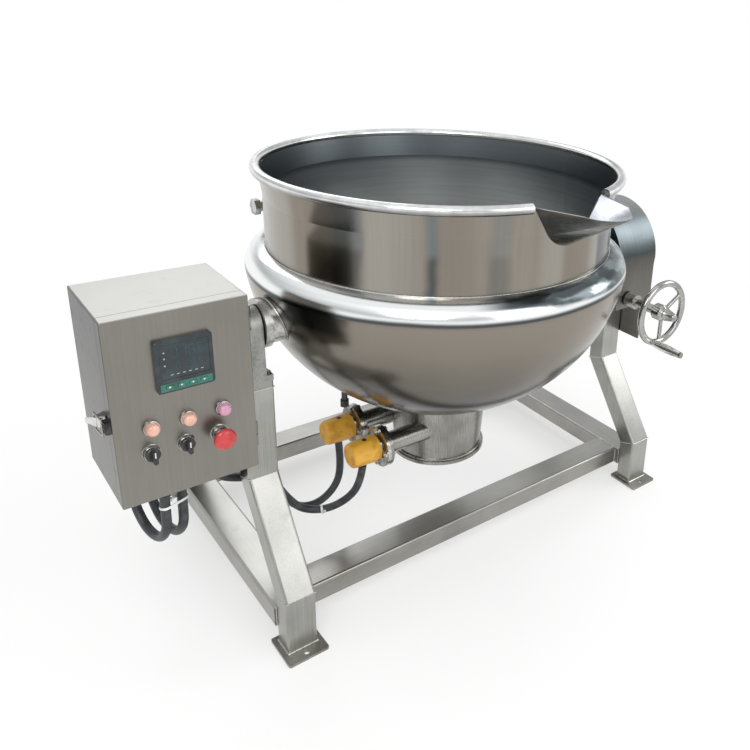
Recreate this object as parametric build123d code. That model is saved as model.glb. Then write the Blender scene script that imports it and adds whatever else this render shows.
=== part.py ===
from build123d import *
import math
import os

# Tilting jacketed kettle on a steel stand, with a worm gear, a handwheel and a control box.
# Units are millimetres. The floor is z 0 and +Z is up. The origin is midway between the
# four bolt holes of the foot plates. The kettle pours towards -Y.

# Stand
FOOT_PITCH_X = 1054.0
FOOT_PITCH_Y = 798.0
FOOT_HOLE_R = 6.0
FOOT_THICKNESS = 6.0
FOOT_EDGE = 15.0
FOOT_OVERHANG = 12.0
LEG_WIDTH = 66.0
LEG_DEPTH = 52.0
LEG_WALL = 3.0
LEG_CORNER = 6.0
LEG_TOP_Z = 552.0
LOW_BEND_Z = 127.0
FRONT_BEND_Z = 342.0
REAR_BEND_Z = 480.0
CAP_THICKNESS = 16.0
BEAM_WIDTH = 76.0
BEAM_HEIGHT = 50.0
BEAM_BOTTOM_Z = 45.0
BEAM_INSET = 10.0

# Tilt axis, along X
TILT_Y = -186.0
TILT_Z = 680.0
LEG_SPLIT_BEHIND_AXIS = 9.0

# Kettle
KETTLE_X = -45.0
KETTLE_Y = TILT_Y + 14.0
SHEET = 3.0
SEAT_GAP = 0.25
WALL_R = 396.0
BOWL_Z = 780.0
OIL_GAP = 42.0
WALL_HEIGHT = 173.0
FLARE_HEIGHT = 59.0
FLARE = 8.0
RIM_R = 409.0
BEAD_R = 10.5
JACKET_R = 444.0
JACKET_Z = 795.0
JACKET_DEPTH = 413.0
SHOULDER_Z = 745.0
SHOULDER_TOP_Z = 791.0
SPOUT_ANGLE = 4.5
SPOUT_WIDTH = 204.0
SPOUT_DEPTH = 99.0
SPOUT_BOTTOM_R = 72.0
SPOUT_REACH = 535.0
LIP_WIDTH = 104.0
LIP_DEPTH = 10.0
LIP_BOTTOM_R = 5.0
BEAD_END_ANGLE = 15.2
SUMP_TOP_R = 122.0
SUMP_BOTTOM_R = 110.0
SUMP_HEIGHT = 137.0
SUMP_WALL = 4.0
SUMP_COVER_THICKNESS = 8.0
DRAIN_PLUG_R = 17.0
DRAIN_PLUG_HEIGHT = 12.0
FILLER_ANGLE = 130.0
FILLER_STANDOFF = 26.0
FILLER_RISE = 35.0
FILLER_R = 13.0
FILLER_BORE_R = 10.0
FILLER_BEND_R = 22.0
FILLER_REACH = 34.0
FILLER_PLUG_R = 20.0
FILLER_PLUG_LENGTH = 14.0
PROBE_ANGLE = 172.0
PROBE_PLACE_R = 246.0
PROBE_R = 7.0
PROBE_HEX_R = 11.0
PROBE_HEX_HEIGHT = 16.0
PROBE_LENGTH = 51.0

# Heaters
HEATER_DROP = 57.0
HEATER_OFFSET = 61.0
STUB_R = 25.0
STUB_BORE_R = 22.0
FLANGE_R = 49.0
FLANGE_THICKNESS = 8.0
FLANGE_X = -240.0
HEATER_BOLT_PCD = 80.0
HEATER_BOLT_R = 4.0
CAP_NECK = 5.0
CAP_ACROSS = 62.0
CAP_LENGTH = 70.0
ELEMENT_R = 4.0
ELEMENT_REACH = 250.0

# Trunnions
SHAFT_R = 25.0
BOSS_R = 46.0
RING_R = 52.0
RING_THICKNESS = 8.0
LEFT_RING_X = -490.0
RIGHT_RING_X = 401.0
LEFT_SHAFT_END_X = -568.0
RIGHT_SHAFT_END_X = 556.0
STAND_THICKNESS = 52.0
STAND_INSET = 5.0
STAND_BASE_HEIGHT = 12.0
HOUSING_R = 40.0
BUSH_R = 31.0
RUNNING_GAP = 0.05

# Worm gear
MODULE = 4.0
WHEEL_TEETH = 40
WORM_PITCH_R = 23.0
WHEEL_WIDTH = 34.0
WHEEL_X = 465.0
HUB_R = 42.0
HUB_LENGTH = 50.0
TOOTH_TIP = 2.3
TOOTH_PITCH = 5.6
TOOTH_ROOT = 7.5
WORM_LENGTH = 90.0
WORM_TURNS = 6
WORM_SHAFT_R = 12.0
WORM_SHAFT_REAR = 104.0
WORM_BEARING_OFFSET = 81.0
WORM_BEARING_LENGTH = 28.0
WORM_HOUSING_R = 22.0
LEDGE_THICKNESS = 8.0
LEDGE_DROP = 35.0
LEDGE_REACH = 58.0
COLLAR_R = 20.0
COLLAR_GAP = 4.0
COLLAR_FRONT = 176.0

# Gear guard
GUARD_R = 142.0
GUARD_SHEET = 3.0
GUARD_INNER_X = 422.0
GUARD_SKIRT_Z = 550.0
GUARD_SIDE_Z = 423.0
GUARD_SIDE_HALF = 114.0
GUARD_SHAFT_HOLE_R = 34.0

# Handwheel
WHEEL_PLANE = 264.0
RIM_CENTRE_R = 81.0
RIM_BAR_R = 9.0
SPOKE_R = 5.5
WHEEL_HUB_R = 22.0
WHEEL_HUB_BACK = 243.0
WHEEL_HUB_NOSE = 277.0
GRIP_ANGLE = 247.0
GRIP_R = 11.0
GRIP_START = 276.0
GRIP_END = 362.0
STUD_R = 5.0
STUD_HEAD_R = 8.0
STUD_HEAD = 4.0

# Control box
BOX_LEFT_X = -824.0
BOX_WIDTH = 240.0
BOX_DEPTH = 200.0
BOX_HEIGHT = 350.0
BOX_BOTTOM_Z = 465.0
BOX_FRONT_Y = TILT_Y - 168.0
BOX_SHEET = 2.0
DOOR_DEPTH = 26.0
DOOR_GAP = 1.0
HINGE_STANDOFF = 7.0
HINGE_R = 5.0
HINGE_PIN_R = 2.5
HINGE_PIN_GAP = 0.1
HINGE_KNUCKLE = 14.0
HINGE_MIDDLE = 20.0
HINGE_GAP = 0.5
HINGE_END = 55.0
LEAF_THICKNESS = 3.0
LEAF_LENGTH = 24.0
METER_SIZE = 96.0
METER_LEFT = 74.0
METER_BOTTOM = 204.0
METER_BEZEL = 10.0
METER_BODY = 90.0
METER_BODY_DEPTH = 65.0
METER_CUTOUT_GAP = 0.5
KEY_WIDTH = 11.0
KEY_HEIGHT = 6.0
KEY_PITCH = 19.0
KEY_RISE = 1.2
KEY_GAP = 0.3
PANEL_HOLE_R = 11.2
PANEL_BODY_R = 11.0
PANEL_RING_R = 14.5
LAMP_UP = 144.0
LAMP_LEFTS = (59.0, 120.0, 181.0)
KNOB_UP = 96.0
SELECTOR_LEFTS = (55.0, 113.0)
STOP_LEFT = 171.0
STOP_R = 20.0
STOP_TRAVEL = 6.0

# Cables
CABLE_R = 9.0
GLAND_R = 13.0
GLAND_NUT_R = 16.0
GLAND_LENGTH = 26.0

# Latch
LATCH_Z = 160.0
LATCH_PIVOT_OUT = 9.0
LATCH_PIVOT_BACK = 38.0
LATCH_LEAN = 32.0
LATCH_ARM = 11.0
LATCH_LEVER = 35.0
LATCH_HALF = 9.0
LATCH_PIN_R = 2.0
BAIL_R = 1.5
BAIL_OUT = 12.2
BAIL_FRONT_BACK = 12.0
CATCH_OUT = 9.5

# Values worked out from those above
RIM_Z = SHOULDER_TOP_Z + WALL_HEIGHT
FLARE_Z = RIM_Z - FLARE_HEIGHT
JACKET_BOTTOM_Z = JACKET_Z - JACKET_DEPTH
BOWL_DEPTH = BOWL_Z - JACKET_BOTTOM_Z - OIL_GAP
SUMP_Z = JACKET_BOTTOM_Z - SUMP_HEIGHT
HEATER_Z = JACKET_BOTTOM_Z - HEATER_DROP
COLLAR_LENGTH = COLLAR_FRONT - GUARD_R - COLLAR_GAP
LEG_X = FOOT_PITCH_X / 2
LEG_INNER_X = LEG_X - LEG_WIDTH / 2
LEG_OUTER_X = LEG_X + LEG_WIDTH / 2
LEG_LOW_Y = FOOT_PITCH_Y / 2 - FOOT_EDGE - LEG_DEPTH / 2
LEG_SPLIT_Y = TILT_Y + LEG_SPLIT_BEHIND_AXIS
STAND_BOTTOM_Z = LEG_TOP_Z + CAP_THICKNESS
WHEEL_PITCH_R = MODULE * WHEEL_TEETH / 2
WHEEL_TIP_R = WHEEL_PITCH_R + MODULE
WHEEL_ROOT_R = WHEEL_PITCH_R - 1.25 * MODULE
WORM_TIP_R = WORM_PITCH_R + MODULE
WORM_ROOT_R = WORM_PITCH_R - 1.25 * MODULE
WORM_Z = TILT_Z - WHEEL_PITCH_R - WORM_PITCH_R
WORM_LEAD = math.pi * MODULE
LEAD_SLOPE = WORM_LEAD / (2 * math.pi * WORM_PITCH_R)
LEDGE_TOP_Z = WORM_Z - LEDGE_DROP
BOX_RIGHT_X = BOX_LEFT_X + BOX_WIDTH
BOX_BODY_Y = BOX_FRONT_Y + DOOR_DEPTH
BOX_BACK_Y = BOX_FRONT_Y + BOX_DEPTH
BOX_TOP_Z = BOX_BOTTOM_Z + BOX_HEIGHT
HINGE_X = BOX_RIGHT_X + HINGE_STANDOFF
HINGE_Y = BOX_BODY_Y
FLANGE_FACE_X = FLANGE_X - FLANGE_THICKNESS
HEAD_FACE_X = FLANGE_FACE_X - FLANGE_THICKNESS
CAP_START_X = HEAD_FACE_X - CAP_NECK
FRONT_HEATER_Y = KETTLE_Y - HEATER_OFFSET
REAR_HEATER_Y = KETTLE_Y + HEATER_OFFSET

# Chosen points of each cable, from a heater or a gland along its route
GLAND_END_Z = BOX_BOTTOM_Z - GLAND_LENGTH
REAR_CABLE = (
    (-294.0, TILT_Y + 75, HEATER_Z - 32),
    (-289.0, TILT_Y + 74, 233.0),
    (-301.0, TILT_Y + 71, 176.0),
    (-350.0, TILT_Y + 64, 146.0),
    (-407.0, TILT_Y + 57, 158.0),
    (-444.0, TILT_Y + 53, 203.0),
    (-474.0, TILT_Y + 51, 259.0),
    (-522.0, TILT_Y + 46, 299.0),
    (-578.0, TILT_Y + 38, 322.0),
    (-614.0, TILT_Y + 25, 360.0),
    (-622.0, TILT_Y + 13, 400.0),
    (-622.0, TILT_Y + 13, GLAND_END_Z),
)
FRONT_CABLE = (
    (-296.0, TILT_Y - 47, HEATER_Z - 34.8),
    (-301.0, TILT_Y - 42, 238.0),
    (-322.0, TILT_Y - 18, 190.0),
    (-362.0, TILT_Y + 12, 160.0),
    (-412.0, TILT_Y + 32, 170.0),
    (-446.0, TILT_Y + 31, 214.0),
    (-474.0, TILT_Y + 28, 268.0),
    (-522.0, TILT_Y + 23, 310.0),
    (-578.0, TILT_Y + 13, 334.0),
    (-612.0, TILT_Y - 6, 366.0),
    (-620.0, TILT_Y - 18, 402.0),
    (-620.0, TILT_Y - 18, GLAND_END_Z),
)
FRONT_LOOP = (
    (-713.0, BOX_FRONT_Y + 53, GLAND_END_Z),
    (-713.0, BOX_FRONT_Y + 53, 397.0),
    (-714.0, BOX_FRONT_Y + 55, 353.0),
    (-720.0, BOX_FRONT_Y + 90, 315.5),
    (-730.0, BOX_FRONT_Y + 141, 315.5),
    (-737.0, BOX_FRONT_Y + 178, 353.0),
    (-738.0, BOX_FRONT_Y + 180, 397.0),
    (-738.0, BOX_FRONT_Y + 180, GLAND_END_Z),
)
LOOP_SHIFT_X = -34.0
LOOP_SHIFT_Y = -13.0
LOOP_RAISE = 9.0
TIE_Z = 416.0
REAR_LOOP = tuple(
    (x + LOOP_SHIFT_X, y + LOOP_SHIFT_Y, z if z == GLAND_END_Z else z + LOOP_RAISE)
    for x, y, z in FRONT_LOOP
)


def side_plane(x):
    """A plane facing +X whose own axes are world Y and world Z."""
    return Plane(origin=(x, 0, 0), x_dir=(0, 1, 0), z_dir=(1, 0, 0))


def front_plane(y):
    """A plane facing -Y whose own axes are world X and world Z."""
    return Plane(origin=(0, y, 0), x_dir=(1, 0, 0), z_dir=(0, -1, 0))


def rod_x(radius, x0, x1, y, z):
    """A round bar along X."""
    return extrude(side_plane(x0) * Pos(y, z) * Circle(radius), x1 - x0)


def rod_y(radius, y0, y1, x, z):
    """A round bar along Y, from its front end y0 to its rear end y1."""
    return extrude(front_plane(y1) * Pos(x, z) * Circle(radius), y1 - y0)


def rod_z(radius, z0, z1, x, y):
    """A round bar along Z."""
    return extrude(Plane.XY.offset(z0) * Pos(x, y) * Circle(radius), z1 - z0)


def block(x0, x1, y0, y1, z0, z1):
    """A block between two corners."""
    return Pos((x0 + x1) / 2, (y0 + y1) / 2, (z0 + z1) / 2) * Box(x1 - x0, y1 - y0, z1 - z0)


def tube_section(width, depth):
    """The section of a rectangular tube of the stand."""
    outer = RectangleRounded(width, depth, LEG_CORNER)
    inner = RectangleRounded(width - 2 * LEG_WALL, depth - 2 * LEG_WALL, LEG_CORNER - LEG_WALL)
    return outer - inner


def hull_of(*shapes):
    """The face inside the tight outline around flat shapes."""
    edges = ShapeList()
    for shape in shapes:
        edges += shape.edges()
    return make_hull(edges)


def group(*solids):
    """Separate solids that share one node."""
    return Compound(children=list(solids))


# Stand

def make_leg(side, upper_y, bend_z, low_y):
    """One cranked leg, mitred at its two bends, from the foot plate to the cap."""
    x = side * LEG_X
    path = Polyline(
        (x, upper_y, LEG_TOP_Z),
        (x, upper_y, bend_z),
        (x, low_y, LOW_BEND_Z),
        (x, low_y, FOOT_THICKNESS),
    )
    start = Plane(origin=(x, upper_y, LEG_TOP_Z), x_dir=(1, 0, 0), z_dir=(0, 0, -1))
    return sweep(start * tube_section(LEG_WIDTH, LEG_DEPTH), path, transition=Transition.RIGHT)


def make_foot(side, end):
    """One foot plate with its bolt hole in the strip outside the leg."""
    hole_y = end * FOOT_PITCH_Y / 2
    outer_y = hole_y + end * FOOT_EDGE
    inner_y = end * (LEG_LOW_Y - LEG_DEPTH / 2) - end * FOOT_OVERHANG
    inner_x = LEG_INNER_X - FOOT_OVERHANG
    outer_x = LEG_OUTER_X + FOOT_OVERHANG
    centre = (side * (inner_x + outer_x) / 2, (outer_y + inner_y) / 2)
    plate = Pos(*centre) * RectangleRounded(outer_x - inner_x, abs(outer_y - inner_y), 5)
    return extrude(plate - Pos(side * LEG_X, hole_y) * Circle(FOOT_HOLE_R), FOOT_THICKNESS)


def make_side_beam(side):
    """A flat-laid tube between the front and the rear leg."""
    half = LEG_LOW_Y - LEG_DEPTH / 2
    section = Pos(side * LEG_X, BEAM_BOTTOM_Z + BEAM_HEIGHT / 2) * tube_section(BEAM_WIDTH, BEAM_HEIGHT)
    return extrude(front_plane(half) * section, 2 * half)


def make_cross_beam(end):
    """A flat-laid tube between the two side beams."""
    half = LEG_X - BEAM_WIDTH / 2
    y = end * (LEG_LOW_Y - LEG_DEPTH / 2 - BEAM_INSET - BEAM_WIDTH / 2)
    section = Pos(y, BEAM_BOTTOM_Z + BEAM_HEIGHT / 2) * tube_section(BEAM_WIDTH, BEAM_HEIGHT)
    return extrude(side_plane(-half) * section, 2 * half)


def make_cap(side):
    """The thick plate over the tops of a front and a rear leg."""
    plate = Pos(side * LEG_X, LEG_SPLIT_Y) * RectangleRounded(LEG_WIDTH, 2 * LEG_DEPTH, LEG_CORNER)
    return extrude(Plane.XY.offset(LEG_TOP_Z) * plate, CAP_THICKNESS)


def make_bearing_stand(x0, base_x0, base_x1):
    """A tapered bearing stand: a foot flange, an upright and a round housing."""
    base_half = LEG_DEPTH
    foot_z = STAND_BOTTOM_Z + STAND_BASE_HEIGHT / 2
    foot = Pos(LEG_SPLIT_Y, foot_z) * Rectangle(2 * base_half, STAND_BASE_HEIGHT)
    housing = Pos(TILT_Y, TILT_Z) * Circle(HOUSING_R)
    upright = extrude(side_plane(x0) * hull_of(foot, housing), STAND_THICKNESS)
    flange = extrude(side_plane(base_x0) * foot, base_x1 - base_x0)
    bore = rod_x(BUSH_R + RUNNING_GAP, x0 - 1, x0 + STAND_THICKNESS + 1, TILT_Y, TILT_Z)
    return upright + flange - bore


def make_bush(x0):
    """A plain bearing bush in a stand."""
    ring = Circle(BUSH_R) - Circle(SHAFT_R + RUNNING_GAP)
    return extrude(side_plane(x0) * Pos(TILT_Y, TILT_Z) * ring, STAND_THICKNESS)


def stand_nodes():
    upper = LEG_DEPTH / 2
    front_y = LEG_SPLIT_Y - upper
    rear_y = LEG_SPLIT_Y + upper
    left_stand_x = -LEG_OUTER_X
    right_stand_x = LEG_INNER_X + STAND_INSET
    feet = [make_foot(side, end) for side in (-1, 1) for end in (-1, 1)]
    return {
        "left_front_leg": make_leg(-1, front_y, FRONT_BEND_Z, -LEG_LOW_Y),
        "right_front_leg": make_leg(1, front_y, FRONT_BEND_Z, -LEG_LOW_Y),
        "left_rear_leg": make_leg(-1, rear_y, REAR_BEND_Z, LEG_LOW_Y),
        "right_rear_leg": make_leg(1, rear_y, REAR_BEND_Z, LEG_LOW_Y),
        "foot_plates": group(*feet),
        "left_beam": make_side_beam(-1),
        "right_beam": make_side_beam(1),
        "front_beam": make_cross_beam(-1),
        "rear_beam": make_cross_beam(1),
        "cap_plates": group(make_cap(-1), make_cap(1)),
        "left_bearing_stand": make_bearing_stand(left_stand_x, -LEG_OUTER_X, -LEG_INNER_X),
        "right_bearing_stand": make_bearing_stand(right_stand_x, LEG_INNER_X, LEG_OUTER_X),
        "trunnion_bushes": group(make_bush(left_stand_x), make_bush(right_stand_x)),
    }


# Kettle

def vessel_body(radius, depth, top_z):
    """The space inside a bowl with a straight wall that flares a little at the rim."""
    bowl = EllipticalCenterArc((0, BOWL_Z), radius, depth, start_angle=270, arc_size=90)
    wall = Polyline(
        (radius, BOWL_Z),
        (radius, FLARE_Z),
        (radius + FLARE, top_z),
        (0, top_z),
        (0, BOWL_Z - depth),
    )
    profile = Plane.XZ * make_face(bowl + wall)
    return Pos(KETTLE_X, KETTLE_Y) * revolve(profile, Axis.Z)


def jacket_body(grow):
    """The space inside the jacket: an elliptical bowl with a rounded shoulder."""
    radius = JACKET_R + grow
    depth = JACKET_DEPTH + grow
    low = math.degrees(math.asin((SHOULDER_Z - JACKET_Z) / depth))
    start = (radius * math.cos(math.radians(low)), SHOULDER_Z)
    end = (WALL_R + SEAT_GAP, SHOULDER_TOP_Z + grow)
    drop = end[1] - start[1]
    reach = start[0] - end[0]
    middle = (end[0] + reach * math.sin(math.pi / 4), start[1] + drop * math.sin(math.pi / 4))
    bowl = EllipticalCenterArc((0, JACKET_Z), radius, depth, start_angle=270, arc_size=90 + low)
    shoulder = ThreePointArc(start, middle, end)
    inside = Polyline(end, (0, end[1]), (0, JACKET_Z - depth))
    profile = Plane.XZ * make_face(bowl + shoulder + inside)
    return Pos(KETTLE_X, KETTLE_Y) * revolve(profile, Axis.Z)


def scoop_face(width, depth, bottom_r, y):
    """A trough with a round bottom, in a plane facing -Y, its top edge level with the rim."""
    top = Pos(0, RIM_Z - 0.5) * Rectangle(width, 1)
    bottom = Pos(0, RIM_Z - depth + bottom_r) * Circle(bottom_r)
    above = Pos(0, RIM_Z + depth) * Rectangle(2 * width, 2 * depth)
    return front_plane(y) * (hull_of(top, bottom) - above)


def scoop(inset):
    """The spout's solid form, made smaller all round by an inset."""
    sections = (
        (SPOUT_WIDTH - 2 * inset, SPOUT_DEPTH - inset, SPOUT_BOTTOM_R - inset, WALL_R - 60),
        (SPOUT_WIDTH - 2 * inset, SPOUT_DEPTH - inset, SPOUT_BOTTOM_R - inset, WALL_R - 14),
        (LIP_WIDTH - 2 * inset, LIP_DEPTH - inset, LIP_BOTTOM_R - inset, SPOUT_REACH),
    )
    faces = [scoop_face(width, depth, r, -reach) for width, depth, r, reach in sections]
    return loft(faces, ruled=True)


def aim_spout(shape):
    """Move a spout shape from the origin to the kettle and turn it to its direction."""
    return Pos(KETTLE_X, KETTLE_Y) * Rot(0, 0, SPOUT_ANGLE) * shape


def make_spout():
    """The pouring spout: a sheet scoop with a rounded lip, seated on the wall."""
    lip_r = LIP_WIDTH / 2
    lip = Pos(0, lip_r - SPOUT_REACH) * Circle(lip_r)
    back = Pos(0, -WALL_R) * Rectangle(SPOUT_WIDTH, 2 * lip_r)
    plan = extrude(Plane.XY.offset(RIM_Z - 2 * SPOUT_DEPTH) * hull_of(lip, back), 3 * SPOUT_DEPTH)
    sheet = (scoop(0) - scoop(SHEET)) & plan
    return aim_spout(sheet) - vessel_body(WALL_R + SEAT_GAP, BOWL_DEPTH, RIM_Z + 1)


def make_bead(radius, gap_angle):
    """The rolled bead round the rim, open at the spout."""
    ring = revolve(Plane.XZ * Pos(RIM_R, RIM_Z) * Circle(radius), Axis.Z, 360 - 2 * gap_angle)
    return Pos(KETTLE_X, KETTLE_Y) * Rot(0, 0, SPOUT_ANGLE - 90 + gap_angle) * ring


def make_inner_vessel():
    """The bowl that holds the food, cut open behind the spout."""
    shell = vessel_body(WALL_R, BOWL_DEPTH, RIM_Z) - vessel_body(WALL_R - SHEET, BOWL_DEPTH - SHEET, RIM_Z)
    bead = make_bead(BEAD_R + SEAT_GAP, 0)
    return shell - bead - aim_spout(scoop(SHEET))


def make_jacket():
    """The outer shell of the oil jacket, open below into the sump."""
    hole = rod_z(SUMP_TOP_R - SUMP_WALL, SUMP_Z, JACKET_Z, KETTLE_X, KETTLE_Y)
    wall = rod_z(WALL_R + SEAT_GAP, SHOULDER_Z, JACKET_Z, KETTLE_X, KETTLE_Y)
    return jacket_body(0) - jacket_body(-SHEET) - hole - wall


def make_sump():
    """The heater sump under the jacket, with two flanged heater stubs."""
    top_z = JACKET_Z - 0.9 * JACKET_DEPTH
    slope = (SUMP_TOP_R - SUMP_BOTTOM_R) / (top_z - SUMP_Z)
    outer = Polyline((0, SUMP_Z), (SUMP_BOTTOM_R, SUMP_Z), (SUMP_TOP_R, top_z), (0, top_z), (0, SUMP_Z))
    body = revolve(Plane.XZ * make_face(outer), Axis.Z)
    over = 10.0
    low_r = SUMP_BOTTOM_R - SUMP_WALL - over * slope
    high_r = SUMP_TOP_R - SUMP_WALL + over * slope
    low_z = SUMP_Z - over
    high_z = top_z + over
    inner = Polyline((0, low_z), (low_r, low_z), (high_r, high_z), (0, high_z), (0, low_z))
    cavity = revolve(Plane.XZ * make_face(inner), Axis.Z)
    body = Pos(KETTLE_X, KETTLE_Y) * body
    bores = []
    for y in (FRONT_HEATER_Y, REAR_HEATER_Y):
        body += rod_x(STUB_R, FLANGE_FACE_X, KETTLE_X - SUMP_BOTTOM_R / 2, y, HEATER_Z)
        body += rod_x(FLANGE_R, FLANGE_FACE_X, FLANGE_X, y, HEATER_Z)
        bores.append(rod_x(STUB_BORE_R, FLANGE_FACE_X - 1, KETTLE_X, y, HEATER_Z))
        bores += heater_bolts(y, HEATER_BOLT_R + 0.2)
    body -= Pos(KETTLE_X, KETTLE_Y) * cavity
    for bore in bores:
        body -= bore
    return body - jacket_body(SEAT_GAP)


def make_sump_cover():
    """The plate that closes the sump, with a drain plug under it."""
    top = SUMP_Z
    low = top - SUMP_COVER_THICKNESS
    plate = rod_z(SUMP_BOTTOM_R + 8, low, top, KETTLE_X, KETTLE_Y)
    spigot = rod_z(SUMP_BOTTOM_R - SUMP_WALL - 1, top, top + 6, KETTLE_X, KETTLE_Y)
    under = Plane.XY.offset(low - DRAIN_PLUG_HEIGHT) * Pos(KETTLE_X, KETTLE_Y)
    plug = extrude(under * RegularPolygon(DRAIN_PLUG_R, 6), DRAIN_PLUG_HEIGHT)
    return plate + spigot + plug


def heater_bolt_places(y):
    """Centres of the four bolts round one heater flange."""
    half = HEATER_BOLT_PCD / 2
    return ((y + half, HEATER_Z), (y - half, HEATER_Z), (y, HEATER_Z + half), (y, HEATER_Z - half))


def heater_bolts(y, radius):
    """Round bars through the flange pair, where the bolts go."""
    return [rod_x(radius, HEAD_FACE_X, FLANGE_X, by, bz) for by, bz in heater_bolt_places(y)]


def make_flange_bolts():
    """Hexagon bolts with nuts that clamp the heater heads to the stubs."""
    bolts = []
    for y in (FRONT_HEATER_Y, REAR_HEATER_Y):
        for (by, bz), shank in zip(heater_bolt_places(y), heater_bolts(y, HEATER_BOLT_R)):
            head = Pos(by, bz) * RegularPolygon(HEATER_BOLT_R * 1.85, 6)
            bolt = shank + extrude(side_plane(HEAD_FACE_X) * head, -5.5)
            bolts.append(bolt + extrude(side_plane(FLANGE_X) * head, 6.5))
    return group(*bolts)


def make_heater(y):
    """One immersion heater: its head flange and two hairpin elements in the sump."""
    head = rod_x(FLANGE_R, HEAD_FACE_X, FLANGE_FACE_X, y, HEATER_Z)
    head += rod_x(CAP_ACROSS / 2 - 10, CAP_START_X, HEAD_FACE_X, y, HEATER_Z)
    for bar in heater_bolts(y, HEATER_BOLT_R + 0.2):
        head -= bar
    end_x = FLANGE_FACE_X + ELEMENT_REACH
    bend = 9.0
    for z in (HEATER_Z - 8, HEATER_Z + 8):
        path = FilletPolyline(
            (FLANGE_FACE_X - 1, y - bend, z),
            (end_x, y - bend, z),
            (end_x, y + bend, z),
            (FLANGE_FACE_X - 1, y + bend, z),
            radius=bend * 0.98,
        )
        start = Plane(origin=(FLANGE_FACE_X - 1, y - bend, z), z_dir=(1, 0, 0))
        head += sweep(start * Circle(ELEMENT_R), path)
    return head


def make_heater_cap(y):
    """The eight-sided terminal cover on a heater head."""
    corner_r = CAP_ACROSS / 2 / math.cos(math.pi / 8)
    outline = Pos(y, HEATER_Z) * Rot(0, 0, 22.5) * RegularPolygon(corner_r, 8)
    body = extrude(side_plane(CAP_START_X) * outline, -CAP_LENGTH)
    return chamfer(body.faces().sort_by(Axis.X)[0].edges(), 5)


def make_boss(ring_x, inward):
    """A boss between the jacket and its bolting ring."""
    boss = rod_x(BOSS_R, min(ring_x, ring_x + inward), max(ring_x, ring_x + inward), TILT_Y, TILT_Z)
    outer_x = ring_x - math.copysign(RING_THICKNESS, inward)
    boss += rod_x(RING_R, min(ring_x, outer_x), max(ring_x, outer_x), TILT_Y, TILT_Z)
    return boss - jacket_body(SEAT_GAP)


def make_shaft(ring_x, end_x):
    """A trunnion shaft with the ring that bolts to the boss."""
    outward = math.copysign(RING_THICKNESS, end_x - ring_x)
    near = ring_x + outward
    far = near + outward
    ring = rod_x(RING_R, min(near, far), max(near, far), TILT_Y, TILT_Z)
    shaft = rod_x(SHAFT_R, min(near, end_x), max(near, end_x), TILT_Y, TILT_Z)
    return ring + shaft


def round_kettle(radius, angle):
    """World x and y of a place round the kettle's own axis."""
    away = math.radians(angle)
    return KETTLE_X + radius * math.cos(away), KETTLE_Y + radius * math.sin(away)


def make_filler():
    """The oil filler: a riser on the shoulder, an elbow and a hexagon plug at its end."""
    x, y = round_kettle(WALL_R + FILLER_STANDOFF, FILLER_ANGLE)
    top_z = SHOULDER_TOP_Z + FILLER_RISE
    tip_x = x - FILLER_REACH
    path = FilletPolyline((x, y, SHOULDER_Z), (x, y, top_z), (tip_x, y, top_z), radius=FILLER_BEND_R)
    ring = Circle(FILLER_R) - Circle(FILLER_BORE_R)
    pipe = sweep(Plane.XY.offset(SHOULDER_Z) * Pos(x, y) * ring, path)
    pipe -= jacket_body(SEAT_GAP)
    head = Pos(y, top_z) * RegularPolygon(FILLER_PLUG_R, 6)
    plug = extrude(side_plane(tip_x) * head, -FILLER_PLUG_LENGTH)
    plug += rod_x(FILLER_BORE_R - 0.2, tip_x, tip_x + FILLER_BORE_R, y, top_z)
    return pipe, plug


def make_probe():
    """The temperature probe's pocket on the left of the bowl."""
    x, y = round_kettle(PROBE_PLACE_R, PROBE_ANGLE)
    seat_z = JACKET_Z - JACKET_DEPTH * math.sqrt(1 - (PROBE_PLACE_R / JACKET_R) ** 2)
    low_z = seat_z - PROBE_LENGTH
    probe = rod_z(PROBE_R, low_z, seat_z + PROBE_R, x, y)
    probe += extrude(Plane.XY.offset(low_z) * Pos(x, y) * RegularPolygon(PROBE_HEX_R, 6), PROBE_HEX_HEIGHT)
    return probe - jacket_body(SEAT_GAP)


def make_worm_wheel():
    """The worm wheel: a hub, a web and teeth that lean at the worm's lead angle."""
    x0 = WHEEL_X - WHEEL_WIDTH / 2
    rim = Circle(WHEEL_ROOT_R) - Circle(WHEEL_ROOT_R - 11)
    web = Circle(WHEEL_ROOT_R - 5) - Circle(HUB_R - 5)
    hub = Circle(HUB_R)
    centre = Pos(TILT_Y, TILT_Z)
    wheel = extrude(side_plane(x0) * centre * rim, WHEEL_WIDTH)
    wheel += extrude(side_plane(WHEEL_X - 6) * centre * web, 12)
    wheel += extrude(side_plane(WHEEL_X - HUB_LENGTH / 2) * centre * hub, HUB_LENGTH)
    twist = math.degrees(LEAD_SLOPE / WHEEL_PITCH_R * WHEEL_WIDTH / 2)
    outline = Polygon(
        (WHEEL_ROOT_R - 0.5, -TOOTH_ROOT / 2),
        (WHEEL_PITCH_R, -TOOTH_PITCH / 2),
        (WHEEL_TIP_R, -TOOTH_TIP / 2),
        (WHEEL_TIP_R, TOOTH_TIP / 2),
        (WHEEL_PITCH_R, TOOTH_PITCH / 2),
        (WHEEL_ROOT_R - 0.5, TOOTH_ROOT / 2),
        align=None,
    )
    first = -90 + 180 / WHEEL_TEETH
    teeth = []
    for index in range(WHEEL_TEETH):
        angle = first + index * 360 / WHEEL_TEETH
        near = side_plane(x0) * centre * Rot(0, 0, angle - twist) * outline
        far = side_plane(x0 + WHEEL_WIDTH) * centre * Rot(0, 0, angle + twist) * outline
        teeth.append(loft([near, far]))
    wheel += teeth
    return wheel - rod_x(SHAFT_R + RUNNING_GAP, x0 - 20, x0 + WHEEL_WIDTH + 20, TILT_Y, TILT_Z)


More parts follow.
